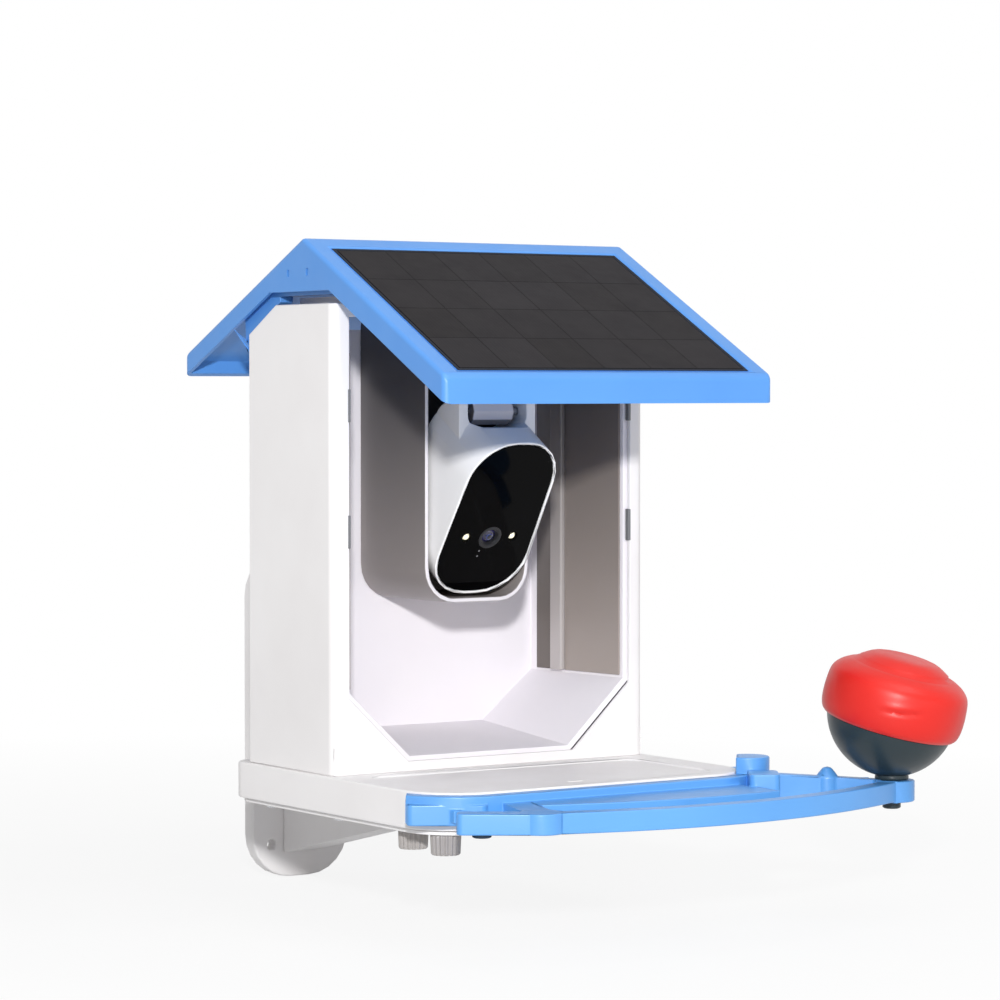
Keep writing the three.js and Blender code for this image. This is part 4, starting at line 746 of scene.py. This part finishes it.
def fluted_knob(node):
    """A thumbscrew's knob with rounded flutes, a dished end and its shaft."""
    low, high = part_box(node)
    top = at(0, 0, KNOB_TOP).z
    tall = (top - low.z) / MM
    reach = (high.z - top) / MM
    stations = [(4.6, -tall + 0.7), (5.2, -tall), (6.4, -tall), (6.9, -tall + 0.5)]
    stations += [(7 + 0.06 * i, -tall + 0.6 + i * (tall - 1.3) / 6) for i in range(7)]
    stations += [(7, 0), (2.5, 0), (2.4, 0.4), (2.4, reach - 0.4), (2, reach)]
    knob = turned(node + "_knob", stations, 162)
    fluted_from, flute_depth = 6.6, 0.75
    for vertex in knob.data.vertices:
        spread = math.hypot(vertex.co.x, vertex.co.y) / MM
        if spread > fluted_from:
            wave = 0.5 - 0.5 * math.cos(KNOB_FLUTES * math.atan2(vertex.co.y, vertex.co.x))
            shrink = 1 - flute_depth * wave / spread
            vertex.co.x *= shrink
            vertex.co.y *= shrink
    middle = (low + high) / 2
    moved(softened(knob, 0), Matrix.Translation(Vector((middle.x, middle.y, top))))
    stand_for(knob, node)


def cross_head():
    """A pan-head screw with a cross recess: head below zero, shaft up to one millimetre."""
    screw = turned("cross_head", [
        (1.4, -SCREW_HEAD), (2.3, -1.6), (2.8, -1.1), (3, -0.4), (2.95, 0), (1.5, 0), (1.5, 1)], 40)
    softened(screw, 0)
    low, high = Vector((-1.7, -0.36, -2.4)) * MM, Vector((1.7, 0.36, -0.9)) * MM
    for turn in (0, math.pi / 2):
        bar = rounded_block("cross_cut", low, high, 0)
        carve(screw, moved(bar, Matrix.Rotation(turn, 4, "Z")))
    return screw


def screws():
    """A cross-head screw for each screw node, its shaft as long as the node's."""
    pattern = cross_head()
    headings = {
        "base_screw": (0, 0, 1), "arm_screw": (0, 0, 1), "back_screw": (0, -1, 0),
        "plate_screw": (0, -1, 0), "pocket_screw": (0, 1, 0)}
    for node in sorted(nodes):
        kind = node.rsplit("_", 1)[0]
        if kind not in headings:
            continue
        heading = Vector(headings[kind])
        low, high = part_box(node)
        middle = (low + high) / 2
        span = abs((high - low).dot(heading))
        screw = copied(pattern, node + "_pan_head")
        for vertex in screw.data.vertices:
            if vertex.co.z > 0.5 * MM:
                vertex.co.z = span - SCREW_HEAD * MM
        turned_about(screw, heading, middle - heading * (span / 2 - SCREW_HEAD * MM))
        stand_for(screw, node)
    bpy.data.objects.remove(pattern)


def pins():
    """The hinge pins and the tilt pin, with chamfered ends."""
    for node in ("hinge_pin_left", "hinge_pin_right", "tilt_pin"):
        low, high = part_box(node)
        half = (high.x - low.x) / 2 / MM
        stations = [(1.5, -half), (1.9, -half + 0.4), (1.9, half - 0.4), (1.5, half)]
        pin = turned(node + "_rod", stations, 32)
        turned_about(softened(pin, 0.1, 2), Vector((1, 0, 0)), (low + high) / 2)
        stand_for(pin, node)


def camera_optics():
    """Lens barrel with stepped rings, domed lens, two lamps and two small sound holes in the glass."""
    outward = Matrix.Rotation(GLASS_TILT, 3, "X") @ Vector((0, -1, 0))
    barrel = turned("lens_barrel_rings", [
        (4.9, -8), (4.9, 0.05), (6.4, 0.05), (6.4, 0.15), (6.2, 0.25), (5.3, 0.25), (5.1, 0.1), (4.6, 0.05),
        (4.4, -0.5), (4.2, -0.55), (4.1, -1.1), (3.85, -1.15), (3.8, -1.9), (0.5, -1.9)], 64)
    turned_about(softened(barrel, 0), outward, glass_point(0, 0.4, -LENS_DROP))
    stand_for(barrel, "lens_barrel")
    lens = turned("domed_lens", [(3.6, -0.7), (3.65, -0.3)] + arc(5.2, 45, 88, 10), 64)
    for vertex in lens.data.vertices:
        if vertex.co.z > 2 * MM:
            vertex.co.z -= 3.9 * MM
    turned_about(softened(lens, 0), outward, glass_point(0, 1.9, -LENS_DROP))
    stand_for(lens, "camera_lens")
    for node, side in (("camera_led_left", -1), ("camera_led_right", 1)):
        dome = [(radius, height - 1.7) for radius, height in arc(2.1, 8, 84, 10)]
        lamp = turned(node + "_dome", [(2.1, -7), (2.1, -1.7)] + dome, 48)
        turned_about(softened(lamp, 0), outward, glass_point(side * LED_SPACING / 2, 0.9, -LENS_DROP))
        stand_for(lamp, node)
    for index, rise in enumerate((-19.2, -22.4)):
        hole = turned(f"sound_hole_{index + 1}", [(0.5, -0.3), (0.55, -0.05), (0.45, 0.05), (0.3, 0)], 24)
        turned_about(hole, outward, glass_point(-3.6, 0.38, rise))
        add_detail(hole, "camera_glass", "catch_grey")


def small_turned_pieces():
    """The camera's power button and the plug under the perch's left lug."""
    low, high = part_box("power_button")
    middle = (low + high) / 2
    flange = 1.3
    button = turned("power_button_cap", [
        (2.2, -3), (2.8, -2.8), (3, -2.3), (3, 0.3), (4, 0.3), (4, flange), (0.5, flange)], 40)
    moved(softened(button, 0.1, 2), Matrix.Translation(Vector((middle.x, middle.y, high.z - flange * MM))))
    stand_for(button, "power_button")
    low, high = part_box("perch_plug")
    middle = (low + high) / 2
    tall = (high.z - low.z) / MM
    plug = turned("perch_plug_cap", [
        (3.6, 0), (4.4, 0.4), (4.5, 1.4), (2.4, 1.4), (2.4, tall - 0.4), (2, tall)], 40)
    moved(softened(plug, 0.1, 2), Matrix.Translation(Vector((middle.x, middle.y, low.z))))
    stand_for(plug, "perch_plug")


def opening_catches():
    """Grey snap catches in the sides of the front opening, two a side."""
    for side, word in ((-1, "left"), (1, "right")):
        for place, (low_z, high_z) in (("low", (110, 126)), ("high", (171, 187))):
            inner, outer = sorted((side * (OPENING_HALF - CATCH_REACH), side * OPENING_HALF))
            catch = rounded_block(
                f"catch_{word}_{place}", at(inner, -0.15, low_z), at(outer, CATCH_DEPTH, high_z), 0.3)
            add_detail(catch, "house_shell", "catch_grey")


moulded_pieces()
house_moulding()
camera_moulding()
roof_moulding()
treat_bowl()
treat_lid()
fluted_knob("thumbscrew_1")
fluted_knob("thumbscrew_2")
screws()
pins()
camera_optics()
small_turned_pieces()
opening_catches()


# Every CAD node that stays in view takes its finish too
for node, piece in nodes.items():
    piece.data.materials.clear()
    piece.data.materials.append(finishes[slot_of[node]])


# Camera, light and ground
def studio_box(name, place, aim, width, height, power):
    """A soft rectangular light at a place, turned to an aim."""
    data = bpy.data.lights.new(name, "AREA")
    data.shape = "RECTANGLE"
    data.size = width
    data.size_y = height
    data.energy = power
    lamp = bpy.data.objects.new(name, data)
    bpy.context.scene.collection.objects.link(lamp)
    lamp.location = place
    lamp.rotation_euler = (aim - place).to_track_quat("-Z", "Y").to_euler()


def seen_plainly(tree):
    """One where the camera, a mirror or glass looks at a surface, and zero for its light."""
    path = put(tree, "LightPath").outputs
    seen = sums(tree, "MAXIMUM", path["Is Camera Ray"], path["Is Glossy Ray"])
    return sums(tree, "MAXIMUM", seen, path["Is Transmission Ray"])


def build_ground():
    """A pale floor at the bracket plate's foot, white where the camera sees it from afar."""
    bpy.ops.mesh.primitive_plane_add(size=12, location=(0, 0, at(0, 0, PLATE_FOOT - 0.4).z))
    floor = bpy.context.object
    floor.name = "floor"
    bpy.ops.object.transform_apply(location=True, rotation=True, scale=True)
    material, tree, shader, where = start_material("pale_floor")
    mould = grouped(tree, MOULDING, {"Vector": where, "Grain": 300.0})
    tint = mixed(tree, ranged(tree, mould["Tone"], 0.0, 1.0), linear("#E4E4E4"), linear("#EAEAEA"))
    finish_surface(tree, shader, tint, ranged(tree, mould["Sheen"], 0.8, 0.9))
    shader.inputs["Specular IOR Level"].default_value = 0.0
    away = put(tree, "VectorMath", {0: where}, operation="LENGTH").outputs["Value"]
    seen = seen_plainly(tree)
    share = sums(tree, "MULTIPLY", seen, ranged(tree, away, 0.87, 1.0, 0.2, 0.8))
    plain = put(tree, "Emission", {"Color": (1, 1, 1, 1), "Strength": 1.0})
    blend = put(tree, "MixShader", {0: share, 1: shader.outputs[0], 2: plain.outputs[0]})
    tree.links.new(blend.outputs[0], tree.nodes["Material Output"].inputs["Surface"])
    floor.data.materials.append(material)


def build_world(level):
    """White where it is looked at, and a soft light of the given level on everything else."""
    world = bpy.data.worlds.new("studio")
    world.use_nodes = True
    tree = world.node_tree
    seen = seen_plainly(tree)
    back = tree.nodes["Background"]
    back.inputs["Color"].default_value = (1, 1, 1, 1)
    tree.links.new(ranged(tree, seen, level, 1.0, 0.0, 1.0), back.inputs["Strength"])
    bpy.context.scene.world = world


def build_view():
    """The photograph's view: angles and distance were fitted to its edges."""
    azimuth, elevation, distance = math.radians(34.11), math.radians(1.83), 1.77445
    level = math.cos(elevation)
    ahead = Vector((math.sin(azimuth) * level, math.cos(azimuth) * level, -math.sin(elevation)))
    data = bpy.data.cameras.new("photo_view")
    data.lens = 128.61
    data.sensor_width = 36
    data.clip_end = 50
    camera = bpy.data.objects.new("photo_view", data)
    bpy.context.scene.collection.objects.link(camera)
    camera.location = at(4.14, 0, 131.97) - ahead * distance
    camera.rotation_euler = ahead.to_track_quat("-Z", "Y").to_euler()
    bpy.context.scene.camera = camera


studio_box("key", at(-1280, -1920, 700), at(0, 20, 110), 0.12, 0.12, 44)
studio_box("front", at(350, -1700, 10), at(0, 0, 30), 1.2, 0.8, 2.5)
studio_box("top", at(100, -850, 1500), at(0, -60, 0), 1.2, 0.8, 8)
build_ground()
build_world(0.38)
build_view()
bpy.context.scene.view_settings.view_transform = "Standard"
